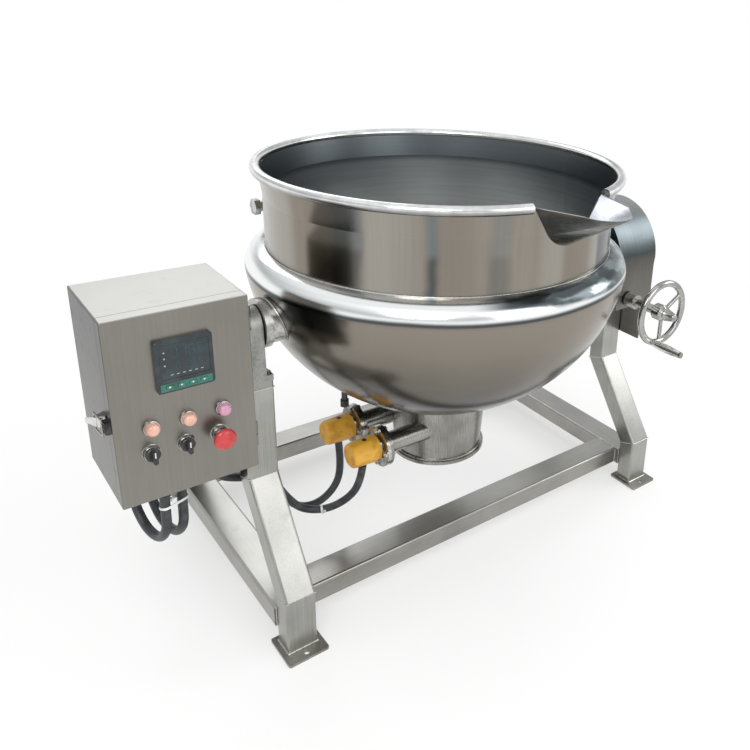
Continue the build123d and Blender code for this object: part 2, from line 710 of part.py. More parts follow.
def kettle_nodes():
    bosses = group(make_boss(LEFT_RING_X, 120), make_boss(RIGHT_RING_X, -120))
    shafts = group(
        make_shaft(LEFT_RING_X, LEFT_SHAFT_END_X),
        make_shaft(RIGHT_RING_X, RIGHT_SHAFT_END_X),
    )
    filler_pipe, filler_plug = make_filler()
    return {
        "inner_vessel": make_inner_vessel(),
        "rim_bead": make_bead(BEAD_R, BEAD_END_ANGLE),
        "spout": make_spout(),
        "jacket": make_jacket(),
        "sump": make_sump(),
        "sump_cover": make_sump_cover(),
        "heater_elements": group(make_heater(FRONT_HEATER_Y), make_heater(REAR_HEATER_Y)),
        "heater_caps": group(make_heater_cap(FRONT_HEATER_Y), make_heater_cap(REAR_HEATER_Y)),
        "flange_bolts": make_flange_bolts(),
        "trunnion_bosses": bosses,
        "trunnion_shafts": shafts,
        "worm_wheel": make_worm_wheel(),
        "filler_pipe": filler_pipe,
        "filler_plug": filler_plug,
        "probe_pocket": make_probe(),
    }


# Worm drive and guard

def make_worm_shaft():
    """The worm with its shaft: a trapezoid thread wound on the core."""
    half = WORM_LENGTH / 2
    depth = WORM_TIP_R - WORM_ROOT_R
    root = TOOTH_PITCH + 2 * (WORM_PITCH_R - WORM_ROOT_R) * math.tan(math.radians(20))
    tip = TOOTH_PITCH - 2 * (WORM_TIP_R - WORM_PITCH_R) * math.tan(math.radians(20))
    height = WORM_TURNS * WORM_LEAD
    helix = Helix(pitch=WORM_LEAD, height=height, radius=WORM_ROOT_R - 0.4)
    out = depth + 0.4
    outline = Polygon((0, -root / 2), (out, -tip / 2), (out, tip / 2), (0, root / 2), align=None)
    start = Plane(origin=helix @ 0, x_dir=(1, 0, 0), z_dir=helix % 0)
    thread = sweep(start * outline, helix, is_frenet=True)
    along = Pos(WHEEL_X, TILT_Y, WORM_Z) * Rot(-90, 0, 0)
    quarter = Rot(0, 0, -90)
    core = Pos(0, 0, -half) * extrude(Circle(WORM_ROOT_R), WORM_LENGTH)
    worm = along * (core + quarter * Pos(0, 0, -height / 2) * thread)
    worm += rod_y(WORM_SHAFT_R, TILT_Y - WHEEL_PLANE + 2, TILT_Y + WORM_SHAFT_REAR, WHEEL_X, WORM_Z)
    collar_y = TILT_Y - COLLAR_FRONT
    return worm + rod_y(COLLAR_R, collar_y, collar_y + COLLAR_LENGTH, WHEEL_X, WORM_Z)


def make_worm_bearing(end):
    """A bearing block for the worm shaft on the ledge."""
    y = TILT_Y + end * WORM_BEARING_OFFSET
    foot = Pos(WHEEL_X, LEDGE_TOP_Z + 3) * Rectangle(2 * WORM_HOUSING_R + 10, 6)
    housing = Pos(WHEEL_X, WORM_Z) * Circle(WORM_HOUSING_R)
    outline = hull_of(foot, housing) - Pos(WHEEL_X, WORM_Z) * Circle(WORM_SHAFT_R + RUNNING_GAP)
    return extrude(front_plane(y + WORM_BEARING_LENGTH / 2) * outline, WORM_BEARING_LENGTH)


def make_ledge():
    """The angle on the inside of the legs that carries the worm bearings."""
    reach_y = WORM_BEARING_OFFSET + WORM_BEARING_LENGTH
    low = LEDGE_TOP_Z - LEDGE_THICKNESS
    shelf = block(
        LEG_INNER_X - LEDGE_REACH, LEG_INNER_X, TILT_Y - reach_y, TILT_Y + reach_y, low, LEDGE_TOP_Z
    )
    back = block(
        LEG_INNER_X - LEDGE_THICKNESS,
        LEG_INNER_X,
        LEG_SPLIT_Y - LEG_DEPTH,
        LEG_SPLIT_Y + LEG_DEPTH,
        low - 40,
        low,
    )
    return shelf + back


def tombstone(radius, low_z):
    """A half circle over the tilt axis with straight sides below it."""
    drop = TILT_Z - low_z
    arch = Pos(TILT_Y, TILT_Z) * Circle(radius)
    sides = Pos(TILT_Y, TILT_Z - drop / 2) * Rectangle(2 * radius, drop)
    below = Pos(TILT_Y, low_z - radius / 2) * Rectangle(2 * radius, radius)
    return arch + sides - below


def make_guard():
    """The sheet hood over the worm gear, its outer side longer than its skirt."""
    outer_x = LEG_OUTER_X
    depth = outer_x + GUARD_SHEET - GUARD_INNER_X
    hood = extrude(side_plane(GUARD_INNER_X) * tombstone(GUARD_R, GUARD_SKIRT_Z), depth)
    hollow = tombstone(GUARD_R - GUARD_SHEET, GUARD_SKIRT_Z - 1)
    room = extrude(side_plane(GUARD_INNER_X + GUARD_SHEET) * hollow, depth - 2 * GUARD_SHEET)
    side = Polygon(
        (TILT_Y - GUARD_R, TILT_Z),
        (TILT_Y - GUARD_SIDE_HALF, GUARD_SIDE_Z),
        (TILT_Y + GUARD_SIDE_HALF, GUARD_SIDE_Z),
        (TILT_Y + GUARD_R, TILT_Z),
        align=None,
    )
    guard = hood - room
    low_y = TILT_Y - 2 * GUARD_R
    high_y = TILT_Y + 2 * GUARD_R
    corner = block(outer_x - 1, outer_x + GUARD_SHEET + 1, low_y, high_y, GUARD_SIDE_Z, TILT_Z)
    rims = block(GUARD_INNER_X, outer_x, TILT_Y - GUARD_R, TILT_Y + GUARD_R, GUARD_SKIRT_Z, TILT_Z)
    guard = guard - (corner - rims) + extrude(side_plane(outer_x) * side, GUARD_SHEET)
    guard -= rod_x(GUARD_SHAFT_HOLE_R, GUARD_INNER_X - 1, GUARD_INNER_X + GUARD_SHEET + 1, TILT_Y, TILT_Z)
    front_y = TILT_Y - GUARD_R
    return guard - rod_y(WORM_SHAFT_R + 3, front_y - 1, front_y + GUARD_SHEET + 1, WHEEL_X, WORM_Z)


def make_handwheel():
    """The handwheel: a round bar rim, three spokes, a hub and the stud of the grip."""
    y = TILT_Y - WHEEL_PLANE
    centre = Plane(origin=(WHEEL_X, y, WORM_Z), x_dir=(1, 0, 0), z_dir=(0, -1, 0))
    bar = RectangleRounded(2 * RIM_BAR_R, 2 * RIM_BAR_R - 1, RIM_BAR_R - 1)
    wheel = centre * revolve(Plane.XZ * Pos(RIM_CENTRE_R, 0) * bar, Axis.Z)
    hub = Polyline(
        (0, -(WHEEL_PLANE - WHEEL_HUB_BACK)),
        (WHEEL_HUB_R - 2, -(WHEEL_PLANE - WHEEL_HUB_BACK)),
        (WHEEL_HUB_R, -(WHEEL_PLANE - WHEEL_HUB_BACK) + 3),
        (WHEEL_HUB_R, 4),
        (WHEEL_HUB_R - 7, WHEEL_HUB_NOSE - WHEEL_PLANE),
        (0, WHEEL_HUB_NOSE - WHEEL_PLANE),
        (0, -(WHEEL_PLANE - WHEEL_HUB_BACK)),
    )
    wheel += centre * revolve(Plane.XZ * make_face(hub), Axis.Z)
    for angle in (30, 150, 270):
        spoke = Rot(0, 0, angle) * Rot(0, 90, 0) * Pos(0, 0, WHEEL_HUB_R - 4)
        length = RIM_CENTRE_R - WHEEL_HUB_R + 4
        wheel += centre * spoke * extrude(Circle(SPOKE_R), length)
    stud_x = WHEEL_X + RIM_CENTRE_R * math.cos(math.radians(GRIP_ANGLE))
    stud_z = WORM_Z + RIM_CENTRE_R * math.sin(math.radians(GRIP_ANGLE))
    end_y = TILT_Y - GRIP_END
    wheel += rod_y(STUD_R, end_y - 1, y, stud_x, stud_z)
    wheel += rod_y(STUD_HEAD_R, end_y - STUD_HEAD, end_y - 1, stud_x, stud_z)
    wheel += rod_y(STUD_HEAD_R, TILT_Y - GRIP_START + 1, y, stud_x, stud_z)
    bore = rod_y(WORM_SHAFT_R + RUNNING_GAP, y, y + WHEEL_HUB_R * 2, WHEEL_X, WORM_Z)
    return wheel - bore


def make_grip():
    """The turning grip on the handwheel's stud."""
    x = WHEEL_X + RIM_CENTRE_R * math.cos(math.radians(GRIP_ANGLE))
    z = WORM_Z + RIM_CENTRE_R * math.sin(math.radians(GRIP_ANGLE))
    length = GRIP_END - GRIP_START
    belly = ThreePointArc((GRIP_R - 2, 0), (GRIP_R, length * 0.6), (GRIP_R - 2.5, length))
    bore_r = STUD_R + 0.1
    rest = Polyline((GRIP_R - 2.5, length), (bore_r, length), (bore_r, 0), (GRIP_R - 2, 0))
    grip = revolve(Plane.XZ * make_face(belly + rest), Axis.Z)
    return Plane(origin=(x, TILT_Y - GRIP_START, z), z_dir=(0, -1, 0)) * grip


def drive_nodes():
    return {
        "worm_shaft": make_worm_shaft(),
        "worm_bearings": group(make_worm_bearing(-1), make_worm_bearing(1)),
        "worm_ledge": make_ledge(),
        "gear_guard": make_guard(),
        "handwheel": make_handwheel(),
        "handle_grip": make_grip(),
    }


# Control box

def box_x(left):
    """World x of a place given as a distance from the box's left side."""
    return BOX_LEFT_X + left


def box_z(up):
    """World z of a place given as a height above the box's bottom."""
    return BOX_BOTTOM_Z + up


def hinge_centres():
    """Middle heights of the two door hinges."""
    return (BOX_BOTTOM_Z + HINGE_END, BOX_TOP_Z - HINGE_END)


def knuckle(z0, z1, leaf_y0, leaf_y1):
    """One hinge knuckle with its leaf on the side of the box or door."""
    part = rod_z(HINGE_R, z0, z1, HINGE_X, HINGE_Y)
    part += block(BOX_RIGHT_X, BOX_RIGHT_X + LEAF_THICKNESS, leaf_y0, leaf_y1, z0, z1)
    return part - rod_z(HINGE_PIN_R + HINGE_PIN_GAP, z0 - 1, z1 + 1, HINGE_X, HINGE_Y)


def make_box():
    """The sheet housing with its two pairs of fixed hinge knuckles."""
    y0 = BOX_BODY_Y + DOOR_GAP
    body = block(BOX_LEFT_X, BOX_RIGHT_X, y0, BOX_BACK_Y, BOX_BOTTOM_Z, BOX_TOP_Z)
    body = fillet(body.edges().filter_by(Axis.Y), 3)
    room = block(
        BOX_LEFT_X + BOX_SHEET,
        BOX_RIGHT_X - BOX_SHEET,
        y0 - 1,
        BOX_BACK_Y - BOX_SHEET,
        BOX_BOTTOM_Z + BOX_SHEET,
        BOX_TOP_Z - BOX_SHEET,
    )
    body -= room
    for x, y in gland_places():
        body -= rod_z(GLAND_R - 3, BOX_BOTTOM_Z - 1, BOX_BOTTOM_Z + BOX_SHEET + 1, x, y)
    for z in hinge_centres():
        low = z - HINGE_MIDDLE / 2 - HINGE_GAP
        high = z + HINGE_MIDDLE / 2 + HINGE_GAP
        body += knuckle(low - HINGE_KNUCKLE, low, HINGE_Y + DOOR_GAP, HINGE_Y + LEAF_LENGTH)
        body += knuckle(high, high + HINGE_KNUCKLE, HINGE_Y + DOOR_GAP, HINGE_Y + LEAF_LENGTH)
    return body


def make_hinge_pins():
    """The two loose hinge pins."""
    pins = []
    half = HINGE_MIDDLE / 2 + HINGE_GAP + HINGE_KNUCKLE
    for z in hinge_centres():
        pins.append(rod_z(HINGE_PIN_R, z - half, z + half, HINGE_X, HINGE_Y))
    return group(*pins)


def make_door():
    """The door: a shallow tray with cut-outs for the meter and the switches."""
    tray = block(BOX_LEFT_X, BOX_RIGHT_X, BOX_FRONT_Y, BOX_BODY_Y, BOX_BOTTOM_Z, BOX_TOP_Z)
    tray = fillet(tray.edges().filter_by(Axis.Y), 3)
    tray = fillet(tray.faces().sort_by(Axis.Y)[0].edges(), 2)
    tray -= block(
        BOX_LEFT_X + BOX_SHEET,
        BOX_RIGHT_X - BOX_SHEET,
        BOX_FRONT_Y + BOX_SHEET,
        BOX_BODY_Y + 1,
        BOX_BOTTOM_Z + BOX_SHEET,
        BOX_TOP_Z - BOX_SHEET,
    )
    middle = METER_SIZE / 2
    half = METER_BODY / 2 + METER_CUTOUT_GAP
    x = box_x(METER_LEFT + middle)
    z = box_z(METER_BOTTOM + middle)
    back = BOX_FRONT_Y + BOX_SHEET + 1
    tray -= block(x - half, x + half, BOX_FRONT_Y - 1, back, z - half, z + half)
    for px, pz in panel_places():
        tray -= rod_y(PANEL_HOLE_R, BOX_FRONT_Y - 1, back, px, pz)
    for z in hinge_centres():
        tray += knuckle(z - HINGE_MIDDLE / 2, z + HINGE_MIDDLE / 2, HINGE_Y - LEAF_LENGTH, HINGE_Y)
    return tray


def lamp_places():
    """Centres of the three lamps on the door."""
    return [(box_x(left), box_z(LAMP_UP)) for left in LAMP_LEFTS]


def knob_places():
    """Centres of the two selectors and the stop button."""
    lefts = SELECTOR_LEFTS + (STOP_LEFT,)
    return [(box_x(left), box_z(KNOB_UP)) for left in lefts]


def panel_places():
    """Centres of every round hole in the door."""
    return lamp_places() + knob_places()


def key_places():
    """Centres of the four keys under the meter's display."""
    middle = box_x(METER_LEFT + METER_SIZE / 2)
    z = box_z(METER_BOTTOM + 11)
    return [(middle + (index - 1.5) * KEY_PITCH, z) for index in range(4)]


def make_meter():
    """The panel meter: a bezel with a sunk display and key pockets, and its body."""
    middle = METER_SIZE / 2
    x = box_x(METER_LEFT + middle)
    z = box_z(METER_BOTTOM + middle)
    front = BOX_FRONT_Y - METER_BEZEL
    half = METER_BODY / 2
    square = Pos(x, z) * RectangleRounded(METER_SIZE, METER_SIZE, 5)
    bezel = extrude(front_plane(BOX_FRONT_Y) * square, METER_BEZEL)
    bezel = chamfer(bezel.faces().sort_by(Axis.Y)[0].edges(), 2)
    window = Pos(x, z + 9) * RectangleRounded(METER_SIZE - 14, METER_SIZE - 32, 3)
    bezel -= extrude(front_plane(front + 1) * window, 2)
    for kx, kz in key_places():
        pocket = Pos(kx, kz) * RectangleRounded(KEY_WIDTH + 2 * KEY_GAP, KEY_HEIGHT + 2 * KEY_GAP, 1.5)
        bezel -= extrude(front_plane(front + 6) * pocket, 7)
    return bezel + block(x - half, x + half, BOX_FRONT_Y, BOX_FRONT_Y + METER_BODY_DEPTH, z - half, z + half)


def make_key(x, z):
    """One key of the panel meter."""
    front = BOX_FRONT_Y - METER_BEZEL
    outline = Pos(x, z) * RectangleRounded(KEY_WIDTH, KEY_HEIGHT, 1.2)
    return extrude(front_plane(front + 4.5) * outline, 4.5 + KEY_RISE)


def turned(points, x, z):
    """A turned part on the door, from (radius, distance out of the door) points."""
    outline = Polyline(*points, points[0])
    part = revolve(Plane.XZ * make_face(outline), Axis.Z)
    return Plane(origin=(x, BOX_FRONT_Y, z), x_dir=(1, 0, 0), z_dir=(0, -1, 0)) * part


def make_lamp(x, z):
    """A pilot lamp: a bezel ring, a domed lens and the body behind the door."""
    points = (
        (0, -38),
        (PANEL_BODY_R, -38),
        (PANEL_BODY_R, 0),
        (PANEL_RING_R, 0),
        (PANEL_RING_R, 4),
        (PANEL_RING_R - 2.5, 5.5),
        (PANEL_RING_R - 3, 11),
        (PANEL_RING_R - 6, 14.5),
        (0, 16),
    )
    return turned(points, x, z)


def make_collar(x, z, bore_r, height):
    """The ring and body of a switch, bored for its turning or sliding part."""
    points = (
        (bore_r, -38),
        (PANEL_BODY_R, -38),
        (PANEL_BODY_R, 0),
        (PANEL_RING_R, 0),
        (PANEL_RING_R, height - 1.5),
        (PANEL_RING_R - 1.5, height),
        (bore_r, height),
    )
    return turned(points, x, z)


def make_selector(x, z):
    """A selector: a disc with a raised grip bar and its spindle."""
    spindle = turned(((0, -20), (4, -20), (4, 6.5), (12.5, 6.5), (12.5, 12), (11.5, 13), (0, 13)), x, z)
    bar = Pos(x, z) * Rot(0, 0, 90) * SlotOverall(25, 8)
    grip = extrude(front_plane(BOX_FRONT_Y - 13) * bar, 12)
    return spindle + grip


def make_stop_button(x, z):
    """The mushroom stop button with its stem."""
    base = 8.5 + STOP_TRAVEL
    points = (
        (0, -20),
        (7.5, -20),
        (7.5, base),
        (STOP_R - 3, base),
        (STOP_R, base + 3),
        (STOP_R, base + 7),
        (STOP_R - 4, base + 12),
        (STOP_R - 11, base + 14.5),
        (0, base + 15),
    )
    return turned(points, x, z)


def latch_point(out, back, up=0.0):
    """World place given outward from the box's left side, behind its front, above the latch."""
    return (BOX_LEFT_X - out, BOX_FRONT_Y + back, box_z(LATCH_Z) + up)


def bail_pivot():
    """Outward and backward place of the bail's pivot on the lever."""
    lean = math.radians(LATCH_LEAN)
    out = LATCH_PIVOT_OUT + LATCH_ARM * math.sin(lean)
    return out, LATCH_PIVOT_BACK + LATCH_ARM * math.cos(lean)


def make_latch_base():
    """The latch's bracket on the box, two ears with the lever's pin between them."""
    x, y, z = latch_point(LATCH_PIVOT_OUT, LATCH_PIVOT_BACK)
    ears = []
    for side in (-1, 1):
        low = z + side * (LATCH_HALF + 2.0) - 1.5
        foot = block(BOX_LEFT_X - 2, BOX_LEFT_X, y - 8, y + 10, low, low + 3)
        outline = hull_of(Pos(x, y) * Circle(5), Pos(BOX_LEFT_X - 1, y) * Rectangle(2, 18))
        ears.append(extrude(Plane.XY.offset(low) * outline, 3) + foot)
    plate = block(BOX_LEFT_X - 2, BOX_LEFT_X, y - 8, y + 10, z - LATCH_HALF - 3.5, z + LATCH_HALF + 3.5)
    pin = rod_z(LATCH_PIN_R, z - LATCH_HALF - 3, z + LATCH_HALF + 3, x, y)
    return ears[0] + ears[1] + plate + pin


def make_latch_lever():
    """The latch lever: a barrel round the pin and a plate with a bent tip."""
    x, y, z = latch_point(LATCH_PIVOT_OUT, LATCH_PIVOT_BACK)
    low = z - LATCH_HALF
    height = 2 * LATCH_HALF
    lean = math.radians(LATCH_LEAN)
    out, back = bail_pivot()
    bx, by, _ = latch_point(out, back)
    tip_out = LATCH_PIVOT_OUT + LATCH_LEVER * math.sin(lean)
    tip_back = LATCH_PIVOT_BACK + LATCH_LEVER * math.cos(lean)
    tip = latch_point(tip_out, tip_back)
    bent = latch_point(tip_out + 8, tip_back + 4)
    arm = hull_of(Pos(x, y) * Circle(4.2), Pos(bx, by) * Circle(3.6))
    plate = hull_of(Pos(bx, by) * Circle(1.6), Pos(tip[0], tip[1]) * Circle(1.5))
    lip = hull_of(Pos(tip[0], tip[1]) * Circle(1.5), Pos(bent[0], bent[1]) * Circle(1.5))
    lever = extrude(Plane.XY.offset(low) * (arm + plate + lip), height)
    lever -= rod_z(LATCH_PIN_R + 0.1, low - 1, low + height + 1, x, y)
    return lever - rod_z(BAIL_R + 0.1, low - 1, low + height + 1, bx, by)


def make_latch_bail():
    """The wire bail from the lever to the catch."""
    out, back = bail_pivot()
    px, py, z = latch_point(out, back)
    fx, fy, _ = latch_point(BAIL_OUT, BAIL_FRONT_BACK)
    high = LATCH_HALF + 2.2 + 4.0
    bail = rod_z(BAIL_R, z - high, z + high, px, py) + rod_z(BAIL_R, z - high, z + high, fx, fy)
    length = math.dist((px, py), (fx, fy))
    for side in (-1, 1):
        start = Plane(origin=(px, py, z + side * high), z_dir=(fx - px, fy - py, 0))
        bail += start * extrude(Circle(BAIL_R), length)
        bail += Pos(px, py, z + side * high) * Sphere(BAIL_R)
        bail += Pos(fx, fy, z + side * high) * Sphere(BAIL_R)
    return bail


def make_latch_catch():
    """The ribbed catch on the door's edge."""
    x0 = BOX_LEFT_X - CATCH_OUT
    y0 = BOX_FRONT_Y + 4
    z = box_z(LATCH_Z)
    catch = block(x0, BOX_LEFT_X, y0, y0 + 18, z - 11, z + 11)
    catch = fillet(catch.edges().filter_by(Axis.Z).sort_by(Axis.X)[0:2], 3)
    for index in range(3):
        y = y0 + 4.5 + index * 4.5
        catch -= block(x0 - 1, x0 + 2, y - 1, y + 1, z - 12, z + 12)
    return catch


def make_box_bracket():
    """The channel between the box's side and the outer faces of the left legs."""
    y0 = LEG_SPLIT_Y - LEG_DEPTH
    y1 = BOX_BACK_Y
    low = BOX_BOTTOM_Z + 10
    wall = 4.0
    channel = block(BOX_RIGHT_X, -LEG_OUTER_X, y0, y1, low, LEG_TOP_Z)
    return channel - block(BOX_RIGHT_X + wall, -LEG_OUTER_X - wall, y0 + wall, y1 + 1, low - 1, LEG_TOP_Z + 1)


def make_mounting_plate():
    """The plate for the switchgear, on four standoffs."""
    y = BOX_BACK_Y - BOX_SHEET - 6
    margin = 15.0
    x0 = BOX_LEFT_X + margin
    x1 = BOX_RIGHT_X - margin
    z0 = BOX_BOTTOM_Z + margin
    z1 = BOX_TOP_Z - margin
    plate = block(x0, x1, y - 2, y, z0, z1)
    for x in (x0 + 12, x1 - 12):
        for z in (z0 + 12, z1 - 12):
            plate += rod_y(5, y, y + 6, x, z)
    return plate


def make_contactor(index):
    """One contactor on the mounting plate."""
    y = BOX_BACK_Y - BOX_SHEET - 8
    x = BOX_LEFT_X + 50 + index * 62
    z = box_z(230)
    body = block(x - 22, x + 22, y - 45, y, z - 38, z + 38)
    body += block(x - 22, x + 22, y - 75, y - 45, z - 24, z + 24)
    return body + block(x - 8, x + 8, y - 80, y - 75, z - 10, z + 10)


def gland_places():
    """Centres of the six cable glands in the bottom of the box."""
    return [(point[0], point[1]) for point in (REAR_CABLE[-1], FRONT_CABLE[-1])] + [
        (points[end][0], points[end][1]) for points in (FRONT_LOOP, REAR_LOOP) for end in (0, -1)
    ]


def make_gland(x, y):
    """A cable gland: a hexagon nut and a dome under the box, a lock nut inside."""
    low = BOX_BOTTOM_Z - GLAND_LENGTH
    gland = rod_z(GLAND_R - 3.2, low + 4, BOX_BOTTOM_Z + 10, x, y)
    gland += extrude(Plane.XY.offset(BOX_BOTTOM_Z - 10) * Pos(x, y) * RegularPolygon(GLAND_NUT_R, 6), 10)
    dome = Plane.XY.offset(low) * Pos(x, y)
    gland += loft([dome * Circle(CABLE_R + 1.5), Plane.XY.offset(low + 6) * Pos(x, y) * Circle(GLAND_R)])
    gland += rod_z(GLAND_R, low + 6, BOX_BOTTOM_Z - 10, x, y)
    nut_z = BOX_BOTTOM_Z + BOX_SHEET
    return gland + extrude(Plane.XY.offset(nut_z) * Pos(x, y) * RegularPolygon(GLAND_NUT_R - 1, 6), 5)


# Cables

def corner_radii(name, points):
    """The radius of each corner of a route, from its shorter run and its turn."""
    radii = []
    for before, here, after in zip(points, points[1:], points[2:]):
        first = Vector(*here) - Vector(*before)
        second = Vector(*after) - Vector(*here)
        turn = math.radians(first.get_angle(second))
        radii.append(0.45 * min(first.length, second.length) / math.tan(turn / 2))
    print(name, "corner radii", [round(radius) for radius in radii])
    return radii


def make_cable(name, points):
    """A cable of one diameter along straight runs joined by tangent arcs."""
    path = FilletPolyline(*points, radius=corner_radii(name, points))
    direction = Vector(*points[1]) - Vector(*points[0])
    start = Plane(origin=points[0], z_dir=direction)
    cable = sweep(start * Circle(CABLE_R), path)
    expected = math.pi * CABLE_R**2 * path.length
    print(name, "length", round(path.length), "volume ratio", round(cable.volume / expected, 4))
    return cable


def make_tie(points, others, up):
    """A flat tie round two cables that hang side by side."""
    ax, ay = points
    bx, by = others
    around = CABLE_R + 0.3
    inner = hull_of(Pos(ax, ay) * Circle(around), Pos(bx, by) * Circle(around))
    outer = hull_of(Pos(ax, ay) * Circle(around + 1.5), Pos(bx, by) * Circle(around + 1.5))
    return extrude(Plane.XY.offset(up) * (outer - inner), 5)


def make_ties():
    """The two ties that hold the hanging loops together."""
    front = (FRONT_LOOP[0][0], FRONT_LOOP[0][1])
    back = (FRONT_LOOP[-1][0], FRONT_LOOP[-1][1])
    ties = []
    for x, y in (front, back):
        ties.append(make_tie((x, y), (x + LOOP_SHIFT_X, y + LOOP_SHIFT_Y), TIE_Z))
    return group(*ties)


def box_nodes():
    nodes = {
        "control_box": make_box(),
        "hinge_pins": make_hinge_pins(),
        "box_bracket": make_box_bracket(),
        "mounting_plate": make_mounting_plate(),
        "contactors": group(*[make_contactor(index) for index in range(3)]),
        "cable_glands": group(*[make_gland(x, y) for x, y in gland_places()]),
        "box_door": make_door(),
        "panel_meter": make_meter(),
        "lamps": group(*[make_lamp(x, z) for x, z in lamp_places()]),
        "latch_base": make_latch_base(),
        "latch_lever": make_latch_lever(),
        "latch_bail": make_latch_bail(),
        "latch_catch": make_latch_catch(),
    }
    left, right, stop = knob_places()
    collars = [make_collar(x, z, 4.1, 6) for x, z in (left, right)]
    nodes["switch_collars"] = group(*collars, make_collar(*stop, 7.7, 8))
    nodes["left_selector"] = make_selector(*left)
    nodes["right_selector"] = make_selector(*right)
    nodes["stop_button"] = make_stop_button(*stop)
    for index, (x, z) in enumerate(key_places()):
        nodes[f"meter_key_{index + 1}"] = make_key(x, z)
    return nodes


def cable_nodes():
    return {
        "rear_heater_cable": make_cable("rear_heater_cable", REAR_CABLE),
        "front_heater_cable": make_cable("front_heater_cable", FRONT_CABLE),
        "front_loop_cable": make_cable("front_loop_cable", FRONT_LOOP),
        "rear_loop_cable": make_cable("rear_loop_cable", REAR_LOOP),
        "cable_ties": make_ties(),
    }


def main():
    os.makedirs("parts", exist_ok=True)
    for nodes in (stand_nodes(), kettle_nodes(), drive_nodes(), box_nodes(), cable_nodes()):
        for name, shape in nodes.items():
            export_step(shape, f"parts/{name}.step")


main()
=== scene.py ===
"""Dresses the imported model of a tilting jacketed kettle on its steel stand.

Lengths in the classes are millimetres in the model's own frame: the floor is z 0, the
kettle pours towards -Y and tilts about a line along X. Blender works in metres.
"""

import logging
import math
from dataclasses import dataclass, field
from enum import Enum

import bmesh
import bpy
from mathutils import Matrix, Vector


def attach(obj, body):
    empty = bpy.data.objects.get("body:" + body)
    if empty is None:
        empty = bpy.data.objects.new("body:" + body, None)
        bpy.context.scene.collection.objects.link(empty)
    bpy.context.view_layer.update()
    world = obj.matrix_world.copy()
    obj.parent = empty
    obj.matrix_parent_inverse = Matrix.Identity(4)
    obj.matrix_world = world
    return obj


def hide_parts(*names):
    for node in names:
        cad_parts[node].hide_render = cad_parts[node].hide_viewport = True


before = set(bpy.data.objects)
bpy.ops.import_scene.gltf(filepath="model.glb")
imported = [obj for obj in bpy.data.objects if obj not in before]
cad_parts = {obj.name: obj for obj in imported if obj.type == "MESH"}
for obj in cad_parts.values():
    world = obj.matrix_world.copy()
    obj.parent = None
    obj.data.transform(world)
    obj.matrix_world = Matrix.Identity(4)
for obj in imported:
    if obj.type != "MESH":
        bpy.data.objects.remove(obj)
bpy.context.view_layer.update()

LOG = logging.getLogger("kettle")

Colour = tuple[float, float, float]
Point = tuple[float, float, float]
Profile = tuple[tuple[float, float], ...]
Stops = tuple[tuple[float, Colour], ...]

MM = 0.001
SMALLEST_R = 0.02
TILT_Y = -186.0
TILT_Z = 680.0
KETTLE_X = -45.0
KETTLE_Y = -172.0
X_AXIS = (1.0, 0.0, 0.0)
Z_AXIS = (0.0, 0.0, 1.0)
OUT_OF_DOOR = (0.0, -1.0, 0.0)


def metres(point: Point) -> Vector:
    """Turns a point in millimetres into one in metres.

    Args:
        point: The point, in millimetres.

    Returns:
        The same point, in metres.
    """
    return Vector(point) * MM


def placed(name: str, data: bpy.types.ID) -> bpy.types.Object:
    """Puts a new object into the scene.

    Args:
        name: The object's name.
        data: Its mesh, curve, lamp or camera.

    Returns:
        The object.
    """
    piece = bpy.data.objects.new(name, data)
    bpy.context.scene.collection.objects.link(piece)
    return piece


class Body(Enum):
    """The bodies of the model that pieces ride on."""

    STAND = "stand"
    KETTLE = "kettle"
    WORM = "worm"
    DOOR = "door"
    GRIP = "grip"
    LEFT_KNOB = "left_knob"
    RIGHT_KNOB = "right_knob"
    STOP_HEAD = "stop_head"
    LATCH = "latch"


class Grain(Enum):
    """The direction in which a metal surface was brushed or polished."""

    ALONG_X = "along_x"
    ALONG_Y = "along_y"
    ALONG_Z = "along_z"
    NONE = "none"


# Finishes


